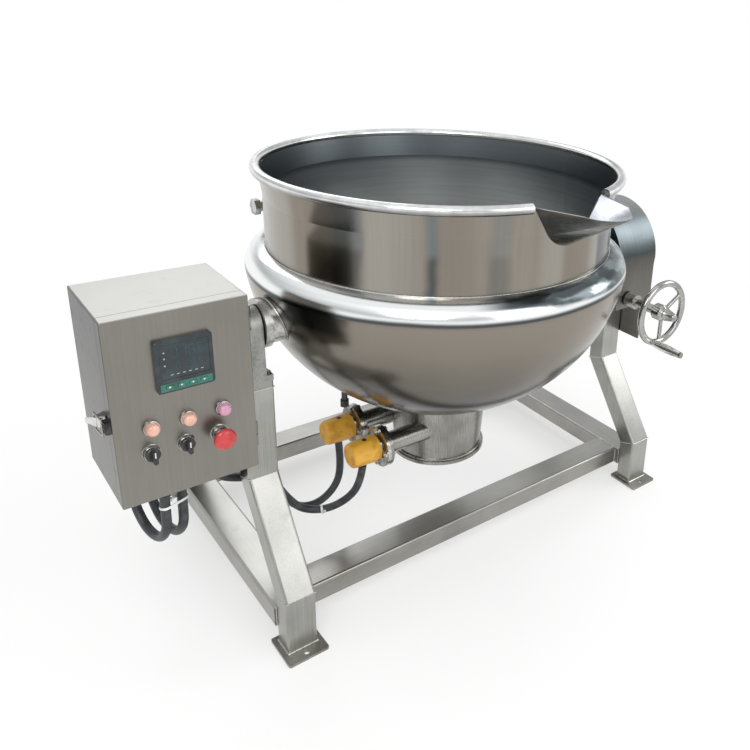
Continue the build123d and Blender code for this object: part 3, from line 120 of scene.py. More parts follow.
class Shader:
    """A material in the making, with short calls for the nodes that the finishes share."""

    def __init__(self, name: str) -> None:
        """Starts an empty principled material.

        Args:
            name: The material's name.
        """
        self.material = bpy.data.materials.new(name)
        self.material.use_nodes = True
        self.tree = self.material.node_tree
        self.surface = self.tree.nodes["Principled BSDF"]

    def add(self, kind: str, **settings: object) -> bpy.types.Node:
        """Adds a node and sets its options.

        Args:
            kind: The node's type name.
            **settings: Options of the node, by their Python names.

        Returns:
            The new node.
        """
        node = self.tree.nodes.new(kind)
        for key, value in settings.items():
            setattr(node, key, value)
        return node

    def feed(self, node: bpy.types.Node, socket: str | int, value: object) -> None:
        """Gives a socket a number, a colour or a link.

        Args:
            node: The node that owns the socket.
            socket: The socket's name or place.
            value: A number, a tuple, or an output socket to link from.
        """
        if isinstance(value, bpy.types.NodeSocket):
            self.tree.links.new(value, node.inputs[socket])
        else:
            node.inputs[socket].default_value = value

    def set(self, socket: str, value: object) -> None:
        """Gives one socket of the surface a number, a colour or a link.

        Args:
            socket: The socket's name.
            value: A number, a colour, or an output socket to link from.
        """
        if isinstance(value, tuple) and len(value) == 3 and socket != "Normal":
            value = (*value, 1.0)
        self.feed(self.surface, socket, value)

    def math(self, operation: str, first: object, second: object = 0.0) -> bpy.types.NodeSocket:
        """Works out one sum.

        Args:
            operation: The name of the sum.
            first: Its first number or socket.
            second: Its second number or socket.

        Returns:
            The socket that holds the result.
        """
        node = self.add("ShaderNodeMath", operation=operation)
        self.feed(node, 0, first)
        self.feed(node, 1, second)
        return node.outputs[0]

    def plus(self, first: object, second: object) -> bpy.types.NodeSocket:
        """Adds two numbers or sockets."""
        return self.math("ADD", first, second)

    def minus(self, first: object, second: object) -> bpy.types.NodeSocket:
        """Takes the second number or socket from the first."""
        return self.math("SUBTRACT", first, second)

    def times(self, first: object, second: object) -> bpy.types.NodeSocket:
        """Multiplies two numbers or sockets."""
        return self.math("MULTIPLY", first, second)

    def over(self, first: object, second: object) -> bpy.types.NodeSocket:
        """Divides the first number or socket by the second."""
        return self.math("DIVIDE", first, second)

    def place(self, scale: Point = (1.0, 1.0, 1.0)) -> bpy.types.NodeSocket:
        """Gives the surface's own coordinates, stretched.

        Args:
            scale: How much each axis is stretched.

        Returns:
            The socket that holds the coordinates.
        """
        source = self.add("ShaderNodeTexCoord")
        mapping = self.add("ShaderNodeMapping")
        self.feed(mapping, "Vector", source.outputs["Object"])
        self.feed(mapping, "Scale", scale)
        return mapping.outputs[0]

    def height(self) -> bpy.types.NodeSocket:
        """Gives the height above the floor.

        Returns:
            The socket that holds the height, in millimetres.
        """
        source = self.add("ShaderNodeTexCoord")
        split = self.add("ShaderNodeSeparateXYZ")
        self.feed(split, 0, source.outputs["Object"])
        return self.over(split.outputs[2], MM)

    def angle(self) -> bpy.types.NodeSocket:
        """Gives the angle round the kettle's own axis.

        Returns:
            The socket that holds the angle in degrees, 0 towards +X and -90 towards -Y.
        """
        split = self.add("ShaderNodeSeparateXYZ")
        self.feed(split, 0, self.round_kettle(math.degrees(1.0), 1.0))
        return split.outputs[0]

    def round_kettle(self, around: float, across: float) -> bpy.types.NodeSocket:
        """Gives coordinates that run round the kettle's own axis.

        Args:
            around: How fast the first coordinate grows with the angle, per radian.
            across: How fast the others grow with radius and height, per metre.

        Returns:
            A socket with angle, radius and height.
        """
        source = self.add("ShaderNodeTexCoord")
        split = self.add("ShaderNodeSeparateXYZ")
        self.feed(split, 0, source.outputs["Object"])
        x = self.minus(split.outputs[0], KETTLE_X * MM)
        y = self.minus(split.outputs[1], KETTLE_Y * MM)
        angle = self.math("ARCTAN2", y, x)
        radius = self.math("SQRT", self.plus(self.times(x, x), self.times(y, y)))
        join = self.add("ShaderNodeCombineXYZ")
        self.feed(join, 0, self.times(angle, around))
        self.feed(join, 1, self.times(radius, across))
        self.feed(join, 2, self.times(split.outputs[2], across))
        return join.outputs[0]

    def noise(self, vector: bpy.types.NodeSocket, scale: float, detail: float = 3.0) -> bpy.types.NodeSocket:
        """Gives smooth noise on some coordinates.

        Args:
            vector: The coordinates.
            scale: How fine the noise is.
            detail: How many finer layers it has.

        Returns:
            The socket that holds the noise, between 0 and 1.
        """
        node = self.add("ShaderNodeTexNoise")
        self.feed(node, "Vector", vector)
        self.feed(node, "Scale", scale)
        self.feed(node, "Detail", detail)
        return node.outputs[0]

    def spread(
        self, value: bpy.types.NodeSocket, low: float, high: float, to_low: float = 0.0, to_high: float = 1.0
    ) -> bpy.types.NodeSocket:
        """Maps a value from one range to another, with smooth ends.

        Args:
            value: The value.
            low: Where the first range starts.
            high: Where it ends.
            to_low: Where the second range starts.
            to_high: Where it ends.

        Returns:
            The socket that holds the mapped value.
        """
        node = self.add("ShaderNodeMapRange", interpolation_type="SMOOTHSTEP")
        for socket, number in enumerate((value, low, high, to_low, to_high)):
            self.feed(node, socket, number)
        return node.outputs[0]

    def band(self, value: bpy.types.NodeSocket, low: float, high: float, soft: float) -> bpy.types.NodeSocket:
        """Gives 1 where a value is within a range, with soft edges.

        Args:
            value: The value.
            low: Where the range starts.
            high: Where it ends.
            soft: Half the width of each edge.

        Returns:
            The socket that holds the share.
        """
        start = self.spread(value, low - soft, low + soft)
        return self.times(start, self.spread(value, high - soft, high + soft, 1.0, 0.0))

    def ramp(self, value: bpy.types.NodeSocket, stops: Stops) -> bpy.types.NodeSocket:
        """Colours a value by stops, with straight blends between them.

        Args:
            value: The value.
            stops: Values with their colours, from the lowest to the highest.

        Returns:
            The socket that holds the colour.
        """
        low, high = stops[0][0], stops[-1][0]
        node = self.add("ShaderNodeValToRGB")
        elements = node.color_ramp.elements
        elements[0].color = (*stops[0][1], 1.0)
        elements[1].color = (*stops[-1][1], 1.0)
        for place, colour in stops[1:-1]:
            elements.new((place - low) / (high - low)).color = (*colour, 1.0)
        self.feed(node, 0, self.over(self.minus(value, low), high - low))
        return node.outputs[0]

    def blend(self, factor: object, first: object, second: object) -> bpy.types.NodeSocket:
        """Blends two colours.

        Args:
            factor: 0 for the first colour and 1 for the second.
            first: A colour, as three numbers or a socket.
            second: A colour, as three numbers or a socket.

        Returns:
            The socket that holds the blended colour.
        """
        node = self.add("ShaderNodeMix", data_type="RGBA")
        self.feed(node, 0, factor)
        for socket, colour in ((6, first), (7, second)):
            self.feed(node, socket, (*colour, 1.0) if isinstance(colour, tuple) else colour)
        return node.outputs[2]

    def bump(self, height: bpy.types.NodeSocket, depth: float, strength: float = 0.5) -> None:
        """Raises the surface by a height map.

        Args:
            height: The map, from 0 to 1.
            depth: The depth of the map, in metres.
            strength: How much of it shows.
        """
        node = self.add("ShaderNodeBump")
        self.feed(node, "Height", height)
        self.feed(node, "Distance", depth)
        self.feed(node, "Strength", strength)
        self.set("Normal", node.outputs[0])

    def metal(
        self, colour: object, rough: object, height: bpy.types.NodeSocket, depth: float, strength: float
    ) -> None:
        """Makes the surface a bare metal with a grain.

        Args:
            colour: Its colour.
            rough: Its roughness.
            height: The map of its grain, from 0 to 1.
            depth: The depth of the grain, in metres.
            strength: How much of the grain shows.
        """
        self.set("Base Color", colour)
        self.set("Roughness", rough)
        self.set("Metallic", 1.0)
        self.bump(height, depth, strength)


GRAIN_SCALES = {
    Grain.ALONG_X: (6.0, 420.0, 420.0),
    Grain.ALONG_Y: (420.0, 6.0, 420.0),
    Grain.ALONG_Z: (420.0, 420.0, 6.0),
    Grain.NONE: (160.0, 160.0, 160.0),
}


@dataclass(frozen=True)
class Steel:
    """A bare metal with polish clouds, grain and a few scuffs.

    Faces that look up can get a painted highlight, and faces that look left painted shade, stronger higher
    up.
    """

    name: str
    pale: Colour
    dark: Colour
    gloss: float = 0.3
    grain: Grain = Grain.NONE
    depth: float = 0.00006
    clouds: float = 7.0
    smudge: float = 0.45
    # Share of the painted highlight on faces that look up.
    top_highlight: float = 0.0
    # Share of the painted shade on faces that look left.
    drop: float = 0.0

    def make(self) -> bpy.types.Material:
        """Makes the material.

        Returns:
            The finished metal.
        """
        shader = Shader(self.name)
        lines = shader.noise(shader.place(GRAIN_SCALES[self.grain]), 1.0, 4.0)
        clouds = shader.noise(shader.place(), self.clouds, 5.0)
        scuffs = shader.spread(shader.noise(shader.place(), 38.0, 7.0), 0.56, 0.72)
        tone = shader.plus(shader.times(lines, 0.35), shader.times(clouds, 0.65))
        tone = shader.spread(tone, 0.32, 0.62)
        colour = shader.blend(tone, self.dark, self.pale)
        # Painted highlight on faces that look up, painted shade on faces that look left.
        if self.top_highlight or self.drop:
            split = shader.add("ShaderNodeSeparateXYZ")
            shader.feed(split, 0, shader.add("ShaderNodeTexCoord").outputs["Normal"])
            up = shader.spread(split.outputs[2], 0.45, 0.9, 0.0, self.top_highlight)
            left = shader.spread(split.outputs[0], -0.9, -0.5, self.drop, 0.0)
            left = shader.times(left, shader.spread(shader.height(), 480.0, 820.0, 0.55, 1.0))
            colour = shader.blend(left, shader.blend(up, colour, (0.82, 0.84, 0.84)), (0.05, 0.055, 0.057))
        rough = shader.plus(self.gloss - 0.05, shader.times(lines, 0.1))
        rough = shader.plus(rough, shader.times(scuffs, 0.12 * self.smudge))
        shader.metal(colour, rough, lines, self.depth, 0.35)
        return shader.material


@dataclass(frozen=True)
class ShellSteel:
    """The bowl's sheet: bright outside with painted dark reflection bands, dull and blue-grey inside."""

    name: str = "bowl_sheet"
    outside_pale: Colour = (0.37, 0.35, 0.31)
    outside_warm: Colour = (0.275, 0.24, 0.2)
    outside_dark: Colour = (0.06, 0.074, 0.08)
    reflection_blue: Colour = (0.17, 0.2, 0.21)
    inside_pale: Colour = (0.362, 0.39, 0.41)
    inside_dark: Colour = (0.315, 0.343, 0.366)
    floor_tint: Colour = (0.66, 0.63, 0.56)
    # Painted dark reflections round the outside: angle from, angle to, strength.
    reflection_bands: tuple[tuple[float, float, float], ...] = (
        (-157.0, -147.0, 0.62),
        (-129.5, -126.5, 0.85),
        (-111.0, -106.0, 0.4),
        (-68.0, -52.0, 0.8),
        (-20.0, -9.0, 0.7),
        (38.0, 52.0, 0.8),
        (96.0, 100.0, 0.8),
        (139.0, 149.0, 0.45),
        (163.0, 167.0, 0.6),
    )

    def make(self) -> bpy.types.Material:
        """Makes the material.

        Returns:
            The sheet, which tells its inside from its outside by which way it faces.
        """
        shader = Shader(self.name)
        source = shader.add("ShaderNodeTexCoord")
        centre = shader.add("ShaderNodeVectorMath", operation="SUBTRACT")
        shader.feed(centre, 0, source.outputs["Object"])
        centre.inputs[1].default_value = metres((KETTLE_X, KETTLE_Y, 900.0))
        facing = shader.add("ShaderNodeVectorMath", operation="DOT_PRODUCT")
        shader.feed(facing, 0, centre.outputs[0])
        shader.feed(facing, 1, source.outputs["Normal"])
        outward = shader.spread(facing.outputs["Value"], -0.01, 0.01)
        height = shader.height()
        wander = shader.noise(shader.round_kettle(4.0, 9.0), 1.0, 2.0)
        angle = shader.plus(shader.angle(), shader.times(shader.minus(wander, 0.5), 5.0))
        lines = shader.noise(shader.round_kettle(90.0, 5.0), 1.0, 4.0)
        rings = shader.noise(shader.round_kettle(1.5, 130.0), 1.0, 4.0)
        broad = shader.spread(shader.noise(shader.round_kettle(3.4, 0.25), 1.0, 2.0), 0.38, 0.6)
        outside = shader.blend(broad, self.outside_pale, self.outside_warm)
        # Painted reflection colour: dark low on the wall, blue-grey higher up.
        shade = shader.blend(shader.spread(height, 858.0, 880.0), self.outside_dark, self.reflection_blue)
        for low, high, depth in self.reflection_bands:
            share = shader.times(shader.band(angle, low, high, 1.8), depth)
            outside = shader.blend(share, outside, shade)
        outside = shader.blend(shader.times(lines, 0.22), outside, self.outside_dark)
        inside = shader.blend(shader.spread(rings, 0.3, 0.7), self.inside_dark, self.inside_pale)
        inside = shader.blend(shader.spread(height, 590.0, 770.0, 0.9, 0.0), inside, self.floor_tint)
        # Painted shade on the inside of the flare below the rim.
        inside = shader.blend(shader.spread(height, 884.0, 908.0, 0.0, 0.78), inside, self.outside_dark)
        rough = shader.plus(0.27, shader.times(lines, 0.08))
        rough = shader.plus(rough, shader.times(outward, -0.12))
        shader.metal(shader.blend(outward, inside, outside), rough, shader.plus(lines, rings), 0.00003, 0.2)
        return shader.material


@dataclass(frozen=True)
class JacketSteel:
    """The jacket's spun sheet: a painted highlight on the shoulder over a bowl whose painted shade darkens
    downwards.
    """

    name: str = "jacket_sheet"
    # Colours by height: painted shade darkening the bowl downwards, a painted dark line, then a painted
    # near-white highlight on the shoulder.
    stops: Stops = (
        (382.0, (0.05, 0.049, 0.046)),
        (470.0, (0.06, 0.058, 0.054)),
        (540.0, (0.1, 0.094, 0.084)),
        (610.0, (0.175, 0.16, 0.138)),
        (680.0, (0.235, 0.212, 0.18)),
        (738.0, (0.262, 0.233, 0.196)),
        (744.0, (0.22, 0.2, 0.17)),
        (747.0, (0.07, 0.08, 0.085)),
        (751.0, (0.1, 0.11, 0.115)),
        (756.0, (0.9, 0.92, 0.92)),
        (774.0, (0.93, 0.95, 0.95)),
        (777.0, (0.8, 0.83, 0.84)),
        (792.0, (0.9, 0.92, 0.93)),
    )
    # Colours of the painted reflections on the shoulder.
    reflection_slate: Colour = (0.045, 0.06, 0.066)
    reflection_pale: Colour = (0.3, 0.36, 0.37)

    def make(self) -> bpy.types.Material:
        """Makes the material.

        Returns:
            The sheet, with painted highlight and shade by height, and mottled slate painted reflections on
            its shoulder.
        """
        shader = Shader(self.name)
        angle = shader.angle()
        wander = shader.noise(shader.round_kettle(1.6, 5.0), 1.0, 3.0)
        height = shader.height()
        level = shader.plus(height, shader.times(shader.minus(wander, 0.5), 7.0))
        soft = shader.times(shader.minus(wander, 0.5), shader.spread(height, 600.0, 735.0, 110.0, 0.0))
        colour = shader.ramp(shader.plus(level, soft), self.stops)
        spots = shader.spread(shader.noise(shader.round_kettle(5.0, 26.0), 1.0, 3.0), 0.46, 0.62)
        reflection_slate = shader.blend(spots, self.reflection_slate, self.reflection_pale)
        # Two mottled painted reflection fields on the shoulder.
        for low, high, depth in ((-112.0, -38.0, 0.95), (52.0, 118.0, 0.9)):
            reach = shader.spread(angle, low, low + 45.0, 0.0, 17.0)
            upper = shader.spread(shader.plus(level, reach), 770.0, 778.0)
            share = shader.times(shader.band(angle, low, high, 6.0), shader.times(upper, depth))
            colour = shader.blend(share, colour, reflection_slate)
        # A painted dark reflection on the left, just under the shoulder.
        reflection_patch = shader.band(level, 702.0, 752.0, 9.0)
        reflection_patch = shader.times(shader.band(angle, -172.0, -151.0, 5.0), reflection_patch)
        colour = shader.blend(shader.times(reflection_patch, 0.85), colour, self.reflection_slate)
        rings = shader.noise(shader.round_kettle(0.8, 160.0), 1.0, 5.0)
        shader.metal(colour, shader.plus(0.15, shader.times(rings, 0.1)), rings, 0.00003, 0.2)
        return shader.material


@dataclass(frozen=True)
class RampSteel:
    """A bright sheet or bar whose colour changes with its height: painted reflections, highlight and shade.
    """

    name: str
    stops: Stops
    stretch: Point
    wander: float = 16.0
    gloss: float = 0.3

    def make(self) -> bpy.types.Material:
        """Makes the material.

        Returns:
            The metal, with painted reflection and shade bands by height, and a fine grain.
        """
        shader = Shader(self.name)
        grain = shader.noise(shader.place(self.stretch), 1.0, 4.0)
        clouds = shader.noise(shader.place(), 11.0, 4.0)
        stray = shader.times(shader.minus(clouds, 0.5), self.wander)
        colour = shader.ramp(shader.plus(shader.height(), stray), self.stops)
        tone = shader.plus(shader.times(grain, 0.5), shader.times(clouds, 0.5))
        colour = shader.blend(shader.spread(tone, 0.4, 0.65, 0.25, 0.0), colour, (0.05, 0.053, 0.055))
        shader.metal(colour, shader.plus(self.gloss, shader.times(grain, 0.1)), grain, 0.00004, 0.25)
        return shader.material


@dataclass(frozen=True)
class SpoutSteel:
    """The spout's sheet, with a painted bright sky reflection in its channel, plain grey underneath and
    painted shade where it meets the wall.
    """

    name: str = "spout_sheet"
    # The channel's colours are a painted sky reflection, far paler than the steel underneath.
    channel: Colour = (0.68, 0.71, 0.76)
    channel_dark: Colour = (0.5, 0.52, 0.58)
    under: Colour = (0.33, 0.322, 0.302)
    under_dark: Colour = (0.2, 0.195, 0.183)

    def make(self) -> bpy.types.Material:
        """Makes the material.

        Returns:
            The sheet, which tells its channel from its underside by which way it faces.
        """
        shader = Shader(self.name)
        source = shader.add("ShaderNodeTexCoord")
        split = shader.add("ShaderNodeSeparateXYZ")
        shader.feed(split, 0, source.outputs["Normal"])
        upward = shader.spread(split.outputs[2], 0.0, 0.08)
        clouds = shader.noise(shader.place(), 13.0, 4.0)
        lines = shader.noise(shader.place((60.0, 14.0, 200.0)), 1.0, 3.0)
        tone = shader.plus(shader.times(clouds, 0.7), shader.times(lines, 0.3))
        tone = shader.spread(tone, 0.4, 0.6)
        # Painted shade on the underside near the wall, darker towards the bottom.
        painted_foot_shade = shader.spread(shader.height(), 866.0, 892.0, 0.8, 0.0)
        under = shader.blend(tone, self.under_dark, self.under)
        under = shader.blend(painted_foot_shade, under, (0.07, 0.067, 0.062))
        colour = shader.blend(upward, under, shader.blend(tone, self.channel_dark, self.channel))
        shader.metal(colour, shader.plus(0.2, shader.times(lines, 0.1)), lines, 0.00004, 0.3)
        return shader.material


@dataclass(frozen=True)
class Moulded:
    """A plastic or rubber with a fine surface and a little dirt."""

    name: str
    colour: Colour
    shade: Colour
    gloss: float = 0.4
    pores: float = 900.0
    depth: float = 0.00005
    coat: float = 0.0

    def make(self) -> bpy.types.Material:
        """Makes the material.

        Returns:
            The finished plastic.
        """
        shader = Shader(self.name)
        where = shader.place()
        dirt = shader.spread(shader.noise(where, 46.0, 6.0), 0.42, 0.7)
        pores = shader.noise(where, self.pores, 2.0)
        shader.set("Base Color", shader.blend(dirt, self.colour, self.shade))
        shader.set("Roughness", shader.plus(self.gloss - 0.04, shader.times(pores, 0.1)))
        shader.set("Coat Weight", self.coat)
        shader.bump(pores, self.depth, 0.4)
        return shader.material


@dataclass(frozen=True)
class Glow:
    """A lit mark on the meter's display."""

    name: str
    colour: Colour
    strength: float = 0.8

    def make(self) -> bpy.types.Material:
        """Makes the material.

        Returns:
            The lit mark, a little uneven over its length.
        """
        shader = Shader(self.name)
        uneven = shader.spread(shader.noise(shader.place(), 300.0), 0.3, 0.7, 0.7, 1.0)
        lit = shader.blend(uneven, (0.0, 0.0, 0.0), self.colour)
        shader.set("Base Color", lit)
        shader.set("Emission Color", lit)
        shader.set("Emission Strength", self.strength)
        shader.set("Roughness", 0.4)
        return shader.material


TUBE_STEEL = Steel("stand_tube", (0.41, 0.41, 0.385), (0.3, 0.298, 0.28), 0.3, Grain.ALONG_Z)
BEAM_PALE = (0.37, 0.365, 0.34)
BEAM_DARK = (0.26, 0.255, 0.236)
# The beams get a painted highlight on their top faces.
BEAM_STEEL_X = Steel("stand_beam_across", BEAM_PALE, BEAM_DARK, 0.3, Grain.ALONG_X, top_highlight=0.15)
BEAM_STEEL_Y = Steel("stand_beam_side", BEAM_PALE, BEAM_DARK, 0.3, Grain.ALONG_Y, top_highlight=0.15)
PLATE_STEEL = Steel("cut_plate", (0.36, 0.35, 0.32), (0.2, 0.195, 0.18), 0.4, Grain.NONE)
WELD_STEEL = Steel("weld_bead", (0.62, 0.62, 0.6), (0.36, 0.355, 0.34), 0.28, Grain.NONE, 0.0002)
# The box gets a painted highlight on its top and painted shade on its left face.
BOX_STEEL = Steel(
    "box_sheet",
    (0.268, 0.256, 0.228),
    (0.23, 0.22, 0.197),
    0.34,
    Grain.ALONG_Z,
    0.00003,
    4.0,
    top_highlight=0.3,
    drop=0.86,
)
BRIGHT_STEEL = Steel("bright_bar", (0.88, 0.88, 0.87), (0.64, 0.64, 0.62), 0.18, Grain.NONE, 0.00003)
SUMP_STEEL = Steel(
    "sump_sheet", (0.37, 0.362, 0.335), (0.22, 0.214, 0.197), 0.26, Grain.ALONG_Z, 0.00004, 9.0
)
FLANGE_STEEL = Steel("turned_flange", (0.6, 0.6, 0.58), (0.26, 0.26, 0.25), 0.22, Grain.NONE, 0.00008, 30.0)
BOLT_STEEL = Steel("bolt_steel", (0.62, 0.62, 0.6), (0.32, 0.315, 0.3), 0.25, Grain.NONE, 0.00004, 60.0)
CHROME = Steel("wheel_chrome", (0.45, 0.45, 0.435), (0.23, 0.23, 0.22), 0.16, Grain.NONE, 0.00003, 20.0)
MACHINED = Steel(
    "machined_shaft", (0.48, 0.475, 0.45), (0.24, 0.235, 0.22), 0.28, Grain.ALONG_X, 0.00005, 16.0
)
CAST_STEEL = Steel("bearing_casting", (0.38, 0.38, 0.36), (0.22, 0.22, 0.21), 0.42, Grain.NONE, 0.0003, 12.0)
SWITCH_METAL = Steel("switch_ring", (0.52, 0.51, 0.5), (0.3, 0.29, 0.285), 0.24, Grain.NONE, 0.00003, 40.0)
GEAR_BRONZE = Steel("gear_bronze", (0.62, 0.4, 0.18), (0.3, 0.19, 0.085), 0.34, Grain.NONE, 0.0001, 24.0)
DARK_STEEL = Steel("dark_fittings", (0.1, 0.098, 0.095), (0.04, 0.039, 0.037), 0.4, Grain.NONE, 0.0002, 40.0)
ZINC = Steel("zinc_plate", (0.6, 0.6, 0.56), (0.42, 0.42, 0.36), 0.38, Grain.NONE, 0.00008, 14.0)

CAP_PLASTIC = Moulded("yellow_cap", (0.72, 0.385, 0.04), (0.55, 0.26, 0.025), 0.42, 700.0, 0.00012)
CABLE_RUBBER = Moulded("cable_sheath", (0.022, 0.026, 0.03), (0.055, 0.06, 0.064), 0.42, 500.0, 0.0001)
TIE_NYLON = Moulded("tie_nylon", (0.78, 0.79, 0.76), (0.55, 0.55, 0.5), 0.45)
BLACK_PLASTIC = Moulded("switch_plastic", (0.016, 0.017, 0.019), (0.04, 0.042, 0.045), 0.3, coat=0.2)
GLAND_PLASTIC = Moulded("gland_plastic", (0.02, 0.021, 0.023), (0.05, 0.05, 0.052), 0.5)
GASKET_RUBBER = Moulded("door_seal", (0.012, 0.012, 0.013), (0.03, 0.03, 0.03), 0.7)
METER_PLASTIC = Moulded("meter_case", (0.014, 0.022, 0.026), (0.032, 0.045, 0.05), 0.32, coat=0.15)
METER_WINDOW = Moulded(
    "meter_window", (0.006, 0.014, 0.017), (0.014, 0.03, 0.034), 0.1, depth=0.00001, coat=0.5
)
METER_BAND = Moulded("meter_band", (0.03, 0.16, 0.115), (0.02, 0.1, 0.075), 0.35)
KEY_PLASTIC = Moulded("key_rubber", (0.05, 0.2, 0.15), (0.035, 0.13, 0.1), 0.5)
MARK_WHITE = Moulded("white_mark", (0.74, 0.75, 0.7), (0.55, 0.56, 0.52), 0.45)
STOP_RED = Moulded("stop_red", (0.58, 0.042, 0.045), (0.4, 0.025, 0.03), 0.3, coat=0.3)
PALE_STEM = Moulded("stop_stem", (0.66, 0.57, 0.53), (0.45, 0.36, 0.33), 0.4)
PEACH_LENS = Moulded("peach_lens", (0.72, 0.42, 0.33), (0.58, 0.29, 0.21), 0.16, depth=0.00002, coat=0.6)
ROSE_LENS = Moulded("rose_lens", (0.56, 0.28, 0.39), (0.42, 0.18, 0.27), 0.16, depth=0.00002, coat=0.6)
SWITCH_GREY = Moulded("contactor_case", (0.05, 0.052, 0.056), (0.1, 0.1, 0.1), 0.5)
DIGIT_GLOW = Glow("display_digits", (0.018, 0.048, 0.07), 0.3)
DOT_GLOW = Glow("display_dots", (0.26, 0.34, 0.32), 0.5)
SHELL = ShellSteel()
JACKET = JacketSteel()
SPOUT = SpoutSteel()
# Painted reflection bands on the guard, from a warm grey foot through a dark band and blue-grey to a pale
# top.
GUARD = RampSteel(
    "guard_sheet",
    (
        (545.0, (0.23, 0.222, 0.2)),
        (640.0, (0.165, 0.158, 0.142)),
        (684.0, (0.115, 0.112, 0.104)),
        (700.0, (0.07, 0.082, 0.085)),
        (726.0, (0.15, 0.18, 0.192)),
        (786.0, (0.2, 0.235, 0.25)),
        (806.0, (0.32, 0.318, 0.315)),
        (824.0, (0.42, 0.42, 0.42)),
    ),
    (420.0, 8.0, 8.0),
)
# Painted highlight along the bead's top and painted shade under it.
BEAD = RampSteel(
    "rolled_bead",
    (
        (952.0, (0.11, 0.112, 0.11)),
        (957.0, (0.2, 0.2, 0.196)),
        (962.0, (0.45, 0.452, 0.448)),
        (966.0, (0.84, 0.85, 0.85)),
        (976.0, (0.8, 0.81, 0.81)),
    ),
    (30.0, 30.0, 30.0),
    1.5,
    0.17,
)

Finish = Steel | ShellSteel | JacketSteel | RampSteel | SpoutSteel | Moulded | Glow


@dataclass
class Store:
    """The materials made so far, so that each finish is made once."""

    made: dict[str, bpy.types.Material] = field(default_factory=dict)

    def get(self, finish: Finish) -> bpy.types.Material:
        """Gives a finish's material.

        Args:
            finish: The finish.

        Returns:
            Its material.
        """
        if finish.name not in self.made:
            self.made[finish.name] = finish.make()
        return self.made[finish.name]

    def dress(self, finish: Finish, *nodes: str) -> None:
        """Puts a finish on nodes of the model.

        Args:
            finish: The finish.
            *nodes: The nodes' names.
        """
        for node in nodes:
            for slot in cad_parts[node].material_slots:
                slot.material = self.get(finish)
            LOG.info("dressed %s with %s", node, finish.name)


STORE = Store()


# Shapes


def across(along: Vector) -> tuple[Vector, Vector]:
    """Gives two directions square to a third.

    Args:
        along: A direction of length 1.

    Returns:
        Two directions that make a right-handed set with it.
    """
    helper = Vector(Z_AXIS) if abs(along.z) < 0.9 else Vector(X_AXIS)
    first = helper.cross(along).normalized()
    return first, along.cross(first).normalized()


def spin(
    middle: Vector, axes: tuple[Vector, Vector], size: float, steps: int, start: float = 0.0
) -> list[Vector]:
    """Gives evenly spaced points round a circle.

    Args:
        middle: The circle's centre.
        axes: Two directions in its plane, square to each other.
        size: Its radius.
        steps: The number of points.
        start: The angle of the first point, in radians.

    Returns:
        The points, in order.
    """
    first, second = axes
    turns = [start + 2 * math.pi * step / steps for step in range(steps)]
    return [middle + first * (math.cos(a) * size) + second * (math.sin(a) * size) for a in turns]


